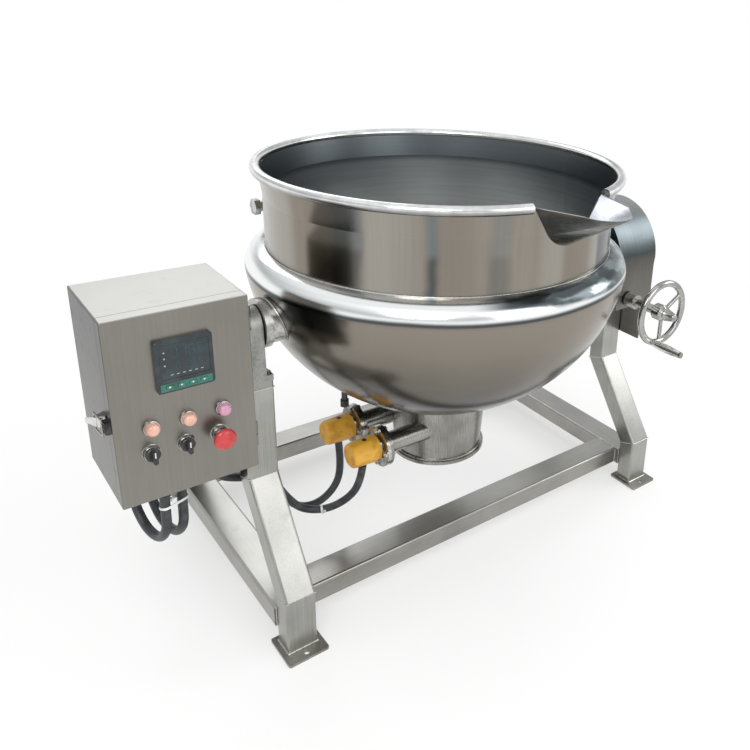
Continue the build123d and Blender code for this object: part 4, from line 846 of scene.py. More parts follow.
@dataclass
class Blank:
    """A mesh in the making, in millimetres."""

    name: str
    mesh: bmesh.types.BMesh = field(default_factory=bmesh.new)

    def rings(self, rings: list[list[Vector]], closed: bool = False) -> None:
        """Skins rings of points, and caps the ends of an open run.

        Args:
            rings: The rings, each with as many points as the first.
            closed: Whether the last ring joins the first.
        """
        made = [[self.mesh.verts.new(point * MM) for point in ring] for ring in rings]
        count = len(made[0])
        pairs = list(zip(made, made[1:] + ([made[0]] if closed else [])))
        for before, after in pairs:
            for index in range(count):
                other = (index + 1) % count
                self.mesh.faces.new((before[index], before[other], after[other], after[index]))
        if not closed:
            self.mesh.faces.new(list(reversed(made[0])))
            self.mesh.faces.new(made[-1])

    def turned(self, profile: Profile, centre: Point, along: Point, steps: int = 40) -> None:
        """Turns a profile round a line.

        Args:
            profile: Radius and distance along the line, from one end to the other.
            centre: A point on the line, where the distance is 0.
            along: The line's direction.
            steps: The number of flats round the line.
        """
        axis = Vector(along).normalized()
        axes = across(axis)
        rings = []
        for radius, distance in profile:
            rings.append(spin(Vector(centre) + axis * distance, axes, max(radius, SMALLEST_R), steps))
        self.rings(rings)

    def hoop(self, section: Profile, centre: Point, along: Point, steps: int = 64) -> None:
        """Turns a closed section round a line, for a ring with a hole.

        Args:
            section: Radius and distance along the line, round the section.
            centre: A point on the line, where the distance is 0.
            along: The line's direction.
            steps: The number of flats round the line.
        """
        axis = Vector(along).normalized()
        first, second = across(axis)
        rings = []
        for step in range(steps):
            angle = 2 * math.pi * step / steps
            out = first * math.cos(angle) + second * math.sin(angle)
            rings.append([Vector(centre) + out * radius + axis * distance for radius, distance in section])
        self.rings(rings, closed=True)

    def prism(
        self, sides: int, radius: float, centre: Point, along: Point, length: float, turn: float = 0.0
    ) -> None:
        """Adds a bar with a regular outline, its end edges eased a little.

        Args:
            sides: How many sides it has.
            radius: Its radius to the corners.
            centre: The middle of its first end.
            along: The way it runs.
            length: Its length.
            turn: How far its outline is turned, in degrees.
        """
        axis = Vector(along).normalized()
        axes = across(axis)
        ease = min(radius, abs(length)) * 0.12
        small = radius - ease
        rings = []
        for size, distance in ((small, 0.0), (radius, ease), (radius, length - ease), (small, length)):
            rings.append(spin(Vector(centre) + axis * distance, axes, size, sides, math.radians(turn)))
        self.rings(rings)

    def slab(self, low: Point, high: Point, ease: float = 0.3) -> None:
        """Adds a block with eased edges.

        Args:
            low: The corner with the lowest coordinates.
            high: The corner with the highest.
            ease: How far the edges are cut back.
        """
        made = bmesh.ops.create_cube(self.mesh, size=1.0)["verts"]
        size = Vector(high) - Vector(low)
        middle = (Vector(high) + Vector(low)) / 2
        place = Matrix.Translation(middle * MM) @ Matrix.Diagonal((*(size * MM), 1.0))
        bmesh.ops.transform(self.mesh, matrix=place, verts=made)
        edges = list({edge for vert in made for edge in vert.link_edges})
        bmesh.ops.bevel(self.mesh, geom=edges, offset=ease * MM, segments=2, profile=0.7, affect="EDGES")

    def wire(
        self, points: list[Vector], radius: float, closed: bool = False, sides: int = 10, ripple: float = 0.0
    ) -> None:
        """Runs a round wire or a weld bead along points.

        Args:
            points: The points of its middle line.
            radius: Its radius.
            closed: Whether it is a loop.
            sides: The number of flats round it.
            ripple: The share of the radius that every other ring loses.
        """
        count = len(points)
        side: Vector | None = None
        rings = []
        for index, point in enumerate(points):
            before = points[index - 1] if index or closed else point
            after = points[(index + 1) % count] if index < count - 1 or closed else point
            along = (after - before).normalized()
            if side is None:
                side, other = across(along)
            else:
                side = (side - along * side.dot(along)).normalized()
                other = along.cross(side)
            rings.append(spin(point, (side, other), radius * (1 - ripple * (index % 2)), sides))
        self.rings(rings, closed)

    def finish(
        self, finish: Finish, body: Body, replaces: tuple[str, ...] = (), crease: float = 32.0
    ) -> bpy.types.Object:
        """Makes the object, dresses it and lets it ride.

        Args:
            finish: The finish it gets.
            body: The body it rides on.
            replaces: The nodes that it stands for.
            crease: The angle in degrees from which an edge stays sharp.

        Returns:
            The new object.
        """
        bmesh.ops.recalc_face_normals(self.mesh, faces=self.mesh.faces)
        data = bpy.data.meshes.new(self.name)
        self.mesh.to_mesh(data)
        self.mesh.free()
        data.shade_smooth()
        data.set_sharp_from_angle(angle=math.radians(crease))
        data.materials.append(STORE.get(finish))
        piece = placed(self.name, data)
        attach(piece, body.value)
        if replaces:
            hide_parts(*replaces)
        LOG.info("made %s on %s", self.name, body.value)
        return piece


def line(start: Point, end: Point, step: float = 3.0) -> list[Vector]:
    """Gives evenly spaced points from one place to another.

    Args:
        start: The first point.
        end: The last point.
        step: The distance between points, about.

    Returns:
        The points, both ends included.
    """
    first, last = Vector(start), Vector(end)
    count = max(2, round((last - first).length / step))
    return [first.lerp(last, index / count) for index in range(count + 1)]


def circle(radius: float, centre: Point, along: Point, step: float = 3.0) -> list[Vector]:
    """Gives evenly spaced points round a circle.

    Args:
        radius: Its radius.
        centre: Its centre.
        along: The direction square to it.
        step: The distance between points, about.

    Returns:
        The points, an even number of them.
    """
    count = 2 * max(12, round(math.pi * radius / step))
    return spin(Vector(centre), across(Vector(along).normalized()), radius, count)


def dome(
    radius: float, base: float, rise: float, turn: float, fullness: float = 1.0
) -> list[tuple[float, float]]:
    """Gives the profile of a dome, from just above its edge to its top or near it.

    Args:
        radius: The radius at its edge.
        base: Where its edge is along the line.
        rise: How high it stands over its edge.
        turn: The angle between its points, in degrees.
        fullness: The power of the cosine, below 1 for a fuller dome.

    Returns:
        Nine points of radius and distance.
    """
    angles = [math.radians(turn * step) for step in range(1, 10)]
    return [(radius * math.cos(a) ** fullness, base + rise * math.sin(a)) for a in angles]


# Camera, floor and light


@dataclass
class Studio:
    """The camera at the photograph's angle, a pale floor and soft light."""

    focal_pixels: float = 789.11
    centre_x: float = 534.64
    centre_y: float = 277.7
    azimuth: float = -42.23
    elevation: float = 19.8
    roll: float = 3.66
    eye: Point = (-1077.21, -1645.64, 1344.28)
    picture: float = 750.0
    floor_radius: float = 24000.0
    near_white: float = 0.5
    white_from: float = 0.9
    white_at: float = 2.4

    def camera(self) -> None:
        """Puts the camera where the photograph was taken from."""
        azimuth, elevation, roll = map(math.radians, (self.azimuth, self.elevation, self.roll))
        back = Vector(
            (
                math.sin(azimuth) * math.cos(elevation),
                -math.cos(azimuth) * math.cos(elevation),
                math.sin(elevation),
            )
        )
        level = (-back).cross(Vector(Z_AXIS)).normalized()
        upright = level.cross(-back)
        right = level * math.cos(roll) + upright * math.sin(roll)
        up = upright * math.cos(roll) - level * math.sin(roll)
        turned = Matrix((right, up, back)).transposed().to_4x4()
        data = bpy.data.cameras.new("camera")
        data.sensor_width = 36.0
        data.lens = self.focal_pixels / self.picture * data.sensor_width
        data.shift_x = (self.picture / 2 - self.centre_x) / self.picture
        data.shift_y = (self.centre_y - self.picture / 2) / self.picture
        data.clip_start = 0.05
        data.clip_end = 60.0
        camera = placed("camera", data)
        camera.matrix_world = Matrix.Translation(metres(self.eye)) @ turned
        bpy.context.scene.camera = camera

    def whiten(self, shader: Shader) -> None:
        """Lets a floor show as white paper, which keeps the shadow near the object.

        Args:
            shader: The floor's material in the making.
        """
        rays = shader.add("ShaderNodeLightPath")
        seen = shader.math("MAXIMUM", rays.outputs["Is Camera Ray"], rays.outputs["Is Glossy Ray"])
        seen = shader.math("MAXIMUM", seen, rays.outputs["Is Transmission Ray"])
        source = shader.add("ShaderNodeTexCoord")
        away = shader.add("ShaderNodeVectorMath", operation="LENGTH")
        shader.feed(away, 0, source.outputs["Object"])
        share = shader.spread(away.outputs["Value"], self.white_from, self.white_at, self.near_white, 1.0)
        glow = shader.add("ShaderNodeEmission")
        mix = shader.add("ShaderNodeMixShader")
        shader.feed(mix, 0, shader.times(seen, share))
        shader.feed(mix, 1, shader.surface.outputs[0])
        shader.feed(mix, 2, glow.outputs[0])
        shader.feed(shader.tree.nodes["Material Output"], "Surface", mix.outputs[0])

    def floor(self) -> None:
        """Lays a plain pale floor."""
        data = bpy.data.meshes.new("floor")
        mesh = bmesh.new()
        bmesh.ops.create_circle(mesh, cap_ends=True, segments=96, radius=self.floor_radius * MM)
        mesh.to_mesh(data)
        mesh.free()
        shader = Shader("floor_paper")
        grain = shader.noise(shader.place(), 3.0, 2.0)
        shader.set("Base Color", shader.blend(grain, (0.9, 0.9, 0.895), (0.92, 0.92, 0.915)))
        shader.set("Roughness", 0.9)
        shader.set("Specular IOR Level", 0.1)
        self.whiten(shader)
        data.materials.append(shader.material)
        placed("floor", data)

    def world(self) -> None:
        """Surrounds the object with soft daylight, white at the horizon and the zenith."""
        world = bpy.data.worlds.new("daylight")
        world.use_nodes = True
        tree = world.node_tree
        background = tree.nodes["Background"]
        source = tree.nodes.new("ShaderNodeTexCoord")
        split = tree.nodes.new("ShaderNodeSeparateXYZ")
        ramp = tree.nodes.new("ShaderNodeValToRGB")
        stops = ramp.color_ramp.elements
        stops[0].color = (1.0, 1.0, 1.0, 1.0)
        stops[1].color = (1.0, 1.0, 1.0, 1.0)
        stops.new(0.12).color = (1.0, 1.0, 1.0, 1.0)
        stops.new(0.3).color = (0.45, 0.46, 0.47, 1.0)
        stops.new(0.72).color = (1.0, 1.0, 1.0, 1.0)
        tree.links.new(source.outputs["Generated"], split.inputs[0])
        tree.links.new(split.outputs[2], ramp.inputs[0])
        tree.links.new(ramp.outputs[0], background.inputs["Color"])
        background.inputs["Strength"].default_value = 1.0
        bpy.context.scene.world = world

    def lamp(self, name: str, place: Point, aim: Point, size: float, watts: float) -> None:
        """Hangs one soft square lamp.

        Args:
            name: The lamp's name.
            place: Where it hangs, in millimetres.
            aim: The point that it faces.
            size: Its side, in metres.
            watts: Its power.
        """
        data = bpy.data.lights.new(name, "AREA")
        data.shape = "SQUARE"
        data.size = size
        data.energy = watts
        lamp = placed(name, data)
        lamp.location = metres(place)
        lamp.rotation_mode = "QUATERNION"
        lamp.rotation_quaternion = (metres(aim) - metres(place)).to_track_quat("-Z", "Y")

    def build(self) -> None:
        """Sets up the whole studio."""
        self.camera()
        self.floor()
        self.world()
        middle = (0.0, -180.0, 600.0)
        self.lamp("key_lamp", (-2300.0, -2300.0, 2900.0), middle, 1.6, 40.0)
        self.lamp("front_lamp", (500.0, -2800.0, 2000.0), middle, 1.6, 17.0)
        self.lamp("side_lamp", (2600.0, -1500.0, 1900.0), middle, 1.4, 24.0)
        self.lamp("back_lamp", (300.0, 2400.0, 2600.0), middle, 1.8, 16.0)
        bpy.context.scene.view_settings.view_transform = "Standard"
        LOG.info("studio ready")


# Cables


@dataclass
class Cable:
    """One black cable along its own route, a smooth line through the air."""

    name: str
    route: tuple[Point, ...]
    radius: float = 9.0

    def curve(self) -> bpy.types.Object:
        """Makes the cable's line without any thickness.

        Returns:
            The curve's object.
        """
        data = bpy.data.curves.new(f"{self.name}_sheath", "CURVE")
        data.dimensions = "3D"
        spline = data.splines.new("NURBS")
        spline.points.add(len(self.route) - 1)
        for point, place in zip(spline.points, self.route):
            point.co = (*metres(place), 1.0)
        spline.order_u = 3
        spline.use_endpoint_u = True
        data.resolution_u = 16
        data.use_fill_caps = True
        piece = placed(f"{self.name}_sheath", data)
        return piece

    def build(self) -> list[Vector]:
        """Returns:
            The points of its middle line, in millimetres.
        """
        piece = self.curve()
        bpy.context.view_layer.update()
        sampled = bpy.data.meshes.new_from_object(piece)
        middle = [vert.co / MM for vert in sampled.vertices]
        piece.data.bevel_depth = self.radius * MM
        piece.data.bevel_resolution = 8
        piece.data.materials.append(STORE.get(CABLE_RUBBER))
        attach(piece, Body.STAND.value)
        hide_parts(self.name)
        return middle


@dataclass
class Wiring:
    """The two heater cables, the two loops under the box, and their ties."""

    box_front: float = -354.0
    gland_z: float = 439.0
    radius: float = 9.0
    tie_z: float = 416.0
    tie_width: float = 5.0
    shift: Point = (-34.0, -13.0, 9.0)
    rear: tuple[Point, ...] = (
        (-294.0, TILT_Y + 75, 293.0),
        (-289.0, TILT_Y + 74, 233.0),
        (-301.0, TILT_Y + 71, 176.0),
        (-350.0, TILT_Y + 64, 146.0),
        (-407.0, TILT_Y + 57, 158.0),
        (-444.0, TILT_Y + 53, 203.0),
        (-474.0, TILT_Y + 51, 259.0),
        (-522.0, TILT_Y + 46, 299.0),
        (-578.0, TILT_Y + 38, 322.0),
        (-614.0, TILT_Y + 25, 360.0),
        (-622.0, TILT_Y + 13, 400.0),
        (-622.0, TILT_Y + 13, 439.0),
    )
    front: tuple[Point, ...] = (
        (-296.0, TILT_Y - 47, 290.2),
        (-301.0, TILT_Y - 42, 238.0),
        (-322.0, TILT_Y - 18, 190.0),
        (-362.0, TILT_Y + 12, 160.0),
        (-412.0, TILT_Y + 32, 170.0),
        (-446.0, TILT_Y + 31, 214.0),
        (-474.0, TILT_Y + 28, 268.0),
        (-522.0, TILT_Y + 23, 310.0),
        (-578.0, TILT_Y + 13, 334.0),
        (-612.0, TILT_Y - 6, 366.0),
        (-620.0, TILT_Y - 18, 402.0),
        (-620.0, TILT_Y - 18, 439.0),
    )

    def loop(self) -> tuple[Point, ...]:
        """Gives the route of the front loop.

        Returns:
            Its points, from the front gland to the rear one.
        """
        front = self.box_front
        return (
            (-713.0, front + 53, self.gland_z),
            (-713.0, front + 53, 397.0),
            (-714.0, front + 55, 353.0),
            (-720.0, front + 90, 315.5),
            (-730.0, front + 141, 315.5),
            (-737.0, front + 178, 353.0),
            (-738.0, front + 180, 397.0),
            (-738.0, front + 180, self.gland_z),
        )

    def rear_loop(self) -> tuple[Point, ...]:
        """Gives the route of the rear loop, which hangs beside the front one.

        Returns:
            Its points, from the front gland to the rear one.
        """
        dx, dy, dz = self.shift
        return tuple((x + dx, y + dy, z if z == self.gland_z else z + dz) for x, y, z in self.loop())

    def at_height(self, points: list[Vector], height: float, back: bool) -> Vector:
        """Finds where one limb of a loop passes a height.

        Args:
            points: The loop's middle line.
            height: The height.
            back: Whether it is the back limb.

        Returns:
            The nearest point of the middle line.
        """
        order = list(reversed(points)) if back else points
        return min(order[: len(order) // 2], key=lambda point: abs(point.z - height))

    def tie(self, blank: Blank, first: Vector, second: Vector) -> None:
        """Straps two limbs together with a flat tie, its head and its cut tail.

        Args:
            blank: The mesh that takes the tie.
            first: A point on one limb's middle line.
            second: The point beside it on the other limb.
        """
        apart = Vector((second.x - first.x, second.y - first.y, 0.0))
        facing = math.atan2(apart.y, apart.x)
        loop = []
        for centre, start in ((second, -90), (first, 90)):
            for step in range(13):
                angle = facing + math.radians(start + step * 15)
                out = Vector((math.cos(angle), math.sin(angle), 0.0))
                loop.append((Vector((centre.x, centre.y, first.z)), out))
        rings = []
        up = Vector(Z_AXIS) * (self.tie_width / 2)
        for centre, out in loop:
            inner, outer = self.radius + 0.3, self.radius + 1.7
            near, far = centre + out * inner, centre + out * outer
            rings.append([near - up, far - up, far + up, near + up])
        blank.rings(rings, closed=True)
        side = apart.normalized().cross(Vector(Z_AXIS))
        head = (first + second) / 2 + side * (self.radius + 2.5)
        blank.slab(tuple(head - Vector((3.5, 3.5, 3.4))), tuple(head + Vector((3.5, 3.5, 3.4))), 0.8)
        sags = [Vector((0.0, 0.0, -0.12 * step * step)) for step in range(8)]
        tail = [head + side * (3.0 + 1.6 * step) + sag for step, sag in enumerate(sags)]
        blank.wire(tail, 1.3, sides=6)

    def build(self) -> None:
        """Makes the cables and ties."""
        Cable("rear_heater_cable", self.rear).build()
        lower = Cable("front_heater_cable", self.front).build()
        front = Cable("front_loop_cable", self.loop()).build()
        rear = Cable("rear_loop_cable", self.rear_loop()).build()
        ties = Blank("nylon_ties")
        for back in (False, True):
            self.tie(ties, self.at_height(front, self.tie_z, back), self.at_height(rear, self.tie_z, back))
        ties.finish(TIE_NYLON, Body.STAND, ("cable_ties",))
        index = min(range(len(lower)), key=lambda place: abs(lower[place].x + 372.0))
        along = (lower[index + 1] - lower[index - 1]).normalized()
        strap = Blank("lower_tie")
        ring = self.radius
        band = ((ring + 0.3, -2.5), (ring + 1.6, -2.5), (ring + 1.6, 2.5), (ring + 0.3, 2.5))
        strap.hoop(band, tuple(lower[index]), tuple(along), 32)
        head = lower[index] + Vector((0.0, -ring - 2.6, 0.0))
        strap.slab(tuple(head - Vector((3.4, 2.4, 3.4))), tuple(head + Vector((3.4, 2.4, 3.4))), 0.8)
        strap.wire([head + Vector((-0.4 * s, -1.8 * s, 0.9 * s)) for s in range(8)], 1.3, sides=6)
        strap.finish(TIE_NYLON, Body.STAND)


# Stand


@dataclass
class Stand:
    """The cranked legs, beams and plates, with the welds that join them."""

    leg_x: float = 527.0
    half_width: float = 33.0
    half_depth: float = 26.0
    upper_front: float = -203.0
    upper_rear: float = -151.0
    low_y: float = 358.0
    top_z: float = 552.0
    front_bend: float = 342.0
    rear_bend: float = 480.0
    low_bend: float = 127.0
    foot_z: float = 6.0
    beam_low: float = 45.0
    beam_high: float = 95.0
    beam_half: float = 38.0
    cross_y: float = 284.0
    bead: float = 1.9
    bearing_bolt_x: float = -500.5
    bearing_bolt_ys: tuple[float, float] = (-217.0, -137.0)
    bearing_foot_z: float = 580.0
    nipple_xs: tuple[float, float] = (-534.0, 525.0)
    nipple_z: float = 719.2

    def dress(self) -> None:
        """Dresses the stand's own nodes."""
        STORE.dress(TUBE_STEEL, "left_front_leg", "right_front_leg", "left_rear_leg", "right_rear_leg")
        STORE.dress(BEAM_STEEL_X, "front_beam", "rear_beam")
        STORE.dress(BEAM_STEEL_Y, "left_beam", "right_beam")
        STORE.dress(PLATE_STEEL, "foot_plates", "cap_plates", "worm_ledge", "box_bracket")
        STORE.dress(CAST_STEEL, "left_bearing_stand", "right_bearing_stand", "worm_bearings")
        STORE.dress(GEAR_BRONZE, "trunnion_bushes")

    def rectangle(self, x: float, y: float, z: float, wide: float, deep: float) -> list[Vector]:
        """Gives points round a level rectangle.

        Args:
            x: Its middle, sideways.
            y: Its middle, from front to back.
            z: Its height.
            wide: Half its width.
            deep: Half its depth.

        Returns:
            The points, in order.
        """
        corners = [(x - wide, y - deep), (x + wide, y - deep), (x + wide, y + deep), (x - wide, y + deep)]
        points: list[Vector] = []
        for (ax, ay), (bx, by) in zip(corners, corners[1:] + corners[:1]):
            points += line((ax, ay, z), (bx, by, z))[:-1]
        return points

    def mitre(self, x: float, y: float, z: float, lean: float) -> list[Vector]:
        """Gives points round a mitred bend.

        Args:
            x: Middle of the leg.
            y: Middle of the bend.
            z: Height of the bend.
            lean: How much the joint rises from its back to its front.

        Returns:
            The closed run of points just outside the tube.
        """
        wide, deep = self.half_width + 0.1, self.half_depth + 0.1
        points = self.rectangle(x, y, z, wide, deep)
        return [Vector((p.x, p.y, z - (p.y - y) * lean)) for p in points]

    def welds(self) -> None:
        """Lays the weld beads at every joint of the stand."""
        beads = Blank("stand_welds")
        thin = Blank("stand_seams")
        for side in (-1, 1):
            x = side * self.leg_x
            for end in (-1, 1):
                y = end * self.low_y
                around = self.rectangle(x, y, self.foot_z + 0.8, self.half_width, self.half_depth)
                beads.wire(around, self.bead + 0.4, closed=True, ripple=0.25)
                upper = self.upper_front if end < 0 else self.upper_rear
                bend = self.front_bend if end < 0 else self.rear_bend
                slope = math.atan2(abs(y - upper), bend - self.low_bend)
                lean = end * math.tan(slope / 2)
                thin.wire(self.mitre(x, upper, bend, -lean), 0.9, closed=True, ripple=0.2)
                thin.wire(self.mitre(x, y, self.low_bend, -lean), 0.9, closed=True, ripple=0.2)
                joint_y = end * (self.low_y - self.half_depth)
                low, high = self.beam_low + 4, self.beam_high
                run = line((x - 33, joint_y, high), (x + 33, joint_y, high))
                beads.wire(run, self.bead, ripple=0.25)
                for edge in (-1, 1):
                    edge_x = x + edge * 33
                    beads.wire(line((edge_x, joint_y, low), (edge_x, joint_y, high)), self.bead, ripple=0.25)
                cross = end * self.cross_y
                inner = side * (self.leg_x - self.beam_half)
                span = self.beam_half - 5
                run = line((inner, cross - span, high), (inner, cross + span, high))
                beads.wire(run, self.bead, ripple=0.25)
                for edge in (-1, 1):
                    edge_y = cross + edge * self.beam_half
                    beads.wire(line((inner, edge_y, low), (inner, edge_y, high - 4)), self.bead, ripple=0.25)
            middle = (self.upper_front + self.upper_rear) / 2
            cap = self.rectangle(x, middle, self.top_z, self.half_width, 2 * self.half_depth)
            beads.wire(cap, 1.3, closed=True, ripple=0.25)
            for edge in (-1, 1):
                edge_x = x + edge * (self.half_width - 0.6)
                run = line((edge_x, middle, self.top_z - 3), (edge_x, middle, self.rear_bend - 4))
                beads.wire(run, 1.7, ripple=0.25)
        beads.finish(WELD_STEEL, Body.STAND)
        thin.finish(WELD_STEEL, Body.STAND)

    def fixings(self) -> None:
        """Adds the bolts of the left bearing stand and the grease nipples."""
        bolts = Blank("bearing_stand_bolts")
        for y in self.bearing_bolt_ys:
            x, z = self.bearing_bolt_x, self.bearing_foot_z
            bolts.turned(((5.9, 0.0), (5.9, 0.9), (5.4, 1.2)), (x, y, z), Z_AXIS)
            bolts.prism(6, 5.4, (x, y, z + 1.2), Z_AXIS, 4.2)
        bolts.finish(BOLT_STEEL, Body.STAND)
        nipples = Blank("grease_nipples")
        for x in self.nipple_xs:
            centre = (x, TILT_Y, self.nipple_z)
            nipples.prism(6, 4.6, centre, Z_AXIS, 4.0)
            profile = ((2.4, 4.0), (2.4, 6.0), (1.7, 7.0), (2.6, 9.0), (1.5, 11.0), (0.0, 11.4))
            nipples.turned(profile, centre, Z_AXIS, 20)
        nipples.finish(BOLT_STEEL, Body.STAND)

    def build(self) -> None:
        """Builds the stand's added pieces and dresses the rest."""
        self.dress()
        self.welds()
        self.fixings()


# Kettle


@dataclass
class Kettle:
    """The bowl, its jacket, sump and fittings."""

    wall_r: float = 396.0
    jacket_r: float = 444.0
    jacket_z: float = 795.0
    jacket_depth: float = 413.0
    shoulder_top: float = 791.0
    sump_top_r: float = 122.0
    sump_bottom_r: float = 110.0
    sump_z: float = 245.0
    boss_r: float = 46.0

    def dress(self) -> None:
        """Dresses the kettle's own nodes."""
        STORE.dress(SHELL, "inner_vessel")
        STORE.dress(JACKET, "jacket")
        STORE.dress(BEAD, "rim_bead")
        STORE.dress(SPOUT, "spout")
        STORE.dress(SUMP_STEEL, "sump", "sump_cover")
        STORE.dress(FLANGE_STEEL, "heater_elements", "trunnion_bosses", "filler_pipe", "filler_plug")
        STORE.dress(MACHINED, "trunnion_shafts")
        STORE.dress(GEAR_BRONZE, "worm_wheel")
        STORE.dress(DARK_STEEL, "probe_pocket")

    def jacket_x(self, y: float, z: float, side: int) -> float:
        """Finds where the jacket's outside is beside the kettle's axis.

        Args:
            y: The place from front to back.
            z: Its height.
            side: -1 for the left side and 1 for the right.

        Returns:
            The place sideways.
        """
        level = 1 - ((z - self.jacket_z) / self.jacket_depth) ** 2
        return KETTLE_X + side * math.sqrt(self.jacket_r**2 * level - (y - KETTLE_Y) ** 2)

    def welds(self) -> None:
        """Lays the weld beads of the jacket, sump and bosses."""
        beads = Blank("kettle_welds")
        drop = self.jacket_depth * math.sqrt(1 - (self.sump_top_r / self.jacket_r) ** 2)
        around = circle(self.sump_top_r + 0.4, (KETTLE_X, KETTLE_Y, self.jacket_z - drop - 0.6), Z_AXIS)
        beads.wire(around, 2.6, closed=True, ripple=0.2)
        around = circle(self.wall_r + 1.0, (KETTLE_X, KETTLE_Y, self.shoulder_top + 0.6), Z_AXIS)
        beads.wire(around, 1.2, closed=True, ripple=0.2)
        around = circle(self.sump_bottom_r + 0.6, (KETTLE_X, KETTLE_Y, self.sump_z + 0.8), Z_AXIS)
        beads.wire(around, 1.8, closed=True, ripple=0.2)
        for side in (-1, 1):
            points = []
            for point in circle(self.boss_r + 0.8, (0.0, TILT_Y, TILT_Z), X_AXIS):
                points.append(Vector((self.jacket_x(point.y, point.z, side) + side * 0.6, point.y, point.z)))
            beads.wire(points, 2.4, closed=True, ripple=0.2)
        beads.finish(WELD_STEEL, Body.KETTLE)

    def build(self) -> None:
        """Builds the kettle's added pieces and dresses the rest."""
        self.dress()
        self.welds()


@dataclass
class Heaters:
    """The two flanged heaters with their yellow terminal caps."""

    z: float = 325.0
    rows: tuple[float, float] = (-233.0, -111.0)
    cap_x: float = -261.0
    cap_half: float = 31.0
    cap_body: Profile = (
        (5.0, 5.0),
        (6.0, 1.4),
        (9.0, 0.2),
        (12.0, 0.0),
        (40.0, 1.2),
        (60.0, 2.2),
        (66.5, 3.4),
        (69.2, 6.2),
        (70.0, 10.0),
    )
    head_x: float = -256.0
    flange_x: float = -240.0
    pitch_r: float = 40.0
    bolt_r: float = 4.0

    def octagon(self, x: float, y: float, half: float, round_off: float = 4.0) -> list[Vector]:
        """Gives an eight-sided ring with soft corners.

        Args:
            x: Its place along the heater.
            y: Its middle.
            half: Half its size across the flats.
            round_off: How far each corner is cut back along the flats.

        Returns:
            The ring's points.
        """
        corner = half / math.cos(math.pi / 8)
        flat = 2 * half * math.tan(math.pi / 8)
        share = round_off / flat
        corners = [math.radians(22.5 + 45 * index) for index in range(8)]
        places = [Vector((x, y + corner * math.cos(a), self.z + corner * math.sin(a))) for a in corners]
        points: list[Vector] = []
        for before, here, after in zip(places[-1:] + places[:-1], places, places[1:] + places[:1]):
            start, end = here.lerp(before, share), here.lerp(after, share)
            points += [start, here.lerp((start + end) / 2, 0.55), end]
        return points

    def caps(self) -> None:
        """Makes the caps: a round neck, a tapered eight-sided body and a sunk end."""
        caps = Blank("terminal_caps")
        screws = Blank("cap_screws")
        for y in self.rows:
            x, half = self.cap_x, self.cap_half
            neck = ((half - 4, 0.0), (half - 1, 0.8), (half - 1, 7.0), (half - 4, 8.0))
            caps.turned(neck, (x, y, self.z), (-1, 0, 0), 64)
            rings = []
            for along, inset in self.cap_body:
                rings.append(self.octagon(x - along, y, half - inset, 4.0))
            for along, inset in ((70.0, 13.0), (68.6, 14.0), (68.6, 18.0)):
                rings.append(self.octagon(x - along, y, half - inset, 3.0))
            caps.rings(rings)
            place = (x - 30.0, y, self.z + half - 2.4)
            head = ((4.6, 0.0), (4.6, 2.0), (4.0, 2.9), (2.4, 3.0), (2.2, 2.0), (0.0, 2.0))
            screws.turned(head, place, Z_AXIS, 28)
            screws.turned(((6.2, 0.0), (6.2, 1.6), (5.8, 1.8), (0.0, 1.8)), place, Z_AXIS, 28)
        caps.finish(CAP_PLASTIC, Body.KETTLE, ("heater_caps",), 24.0)
        screws.finish(DARK_STEEL, Body.KETTLE)

    def bolts(self) -> None:
        """Makes the flange bolts with washers, domed heads and nuts."""
        bolts = Blank("heater_bolts")
        for y in self.rows:
            for turn in range(4):
                by = y + self.pitch_r * math.cos(turn * math.pi / 2)
                bz = self.z + self.pitch_r * math.sin(turn * math.pi / 2)
                bolts.turned(((self.bolt_r, 0.0), (self.bolt_r, 16.0)), (self.head_x, by, bz), X_AXIS, 20)
                for face, way in ((self.head_x, (-1, 0, 0)), (self.flange_x, X_AXIS)):
                    step = way[0]
                    bolts.turned(((8.2, 0.0), (8.2, 1.1), (7.8, 1.3)), (face, by, bz), way, 28)
                    bolts.prism(6, 7.4, (face + step * 1.3, by, bz), way, 4.6, 15.0 * turn)
                    shank = self.bolt_r - 0.2
                    tip = ((shank, 5.9), (shank, 7.4), (self.bolt_r - 1.2, 8.4), (0.0, 8.4))
                    bolts.turned(tip, (face, by, bz), way, 20)
        bolts.finish(BOLT_STEEL, Body.KETTLE, ("flange_bolts",))

    def build(self) -> None:
        """Builds the caps and bolts."""
        self.caps()
        self.bolts()


# Worm gear and handwheel


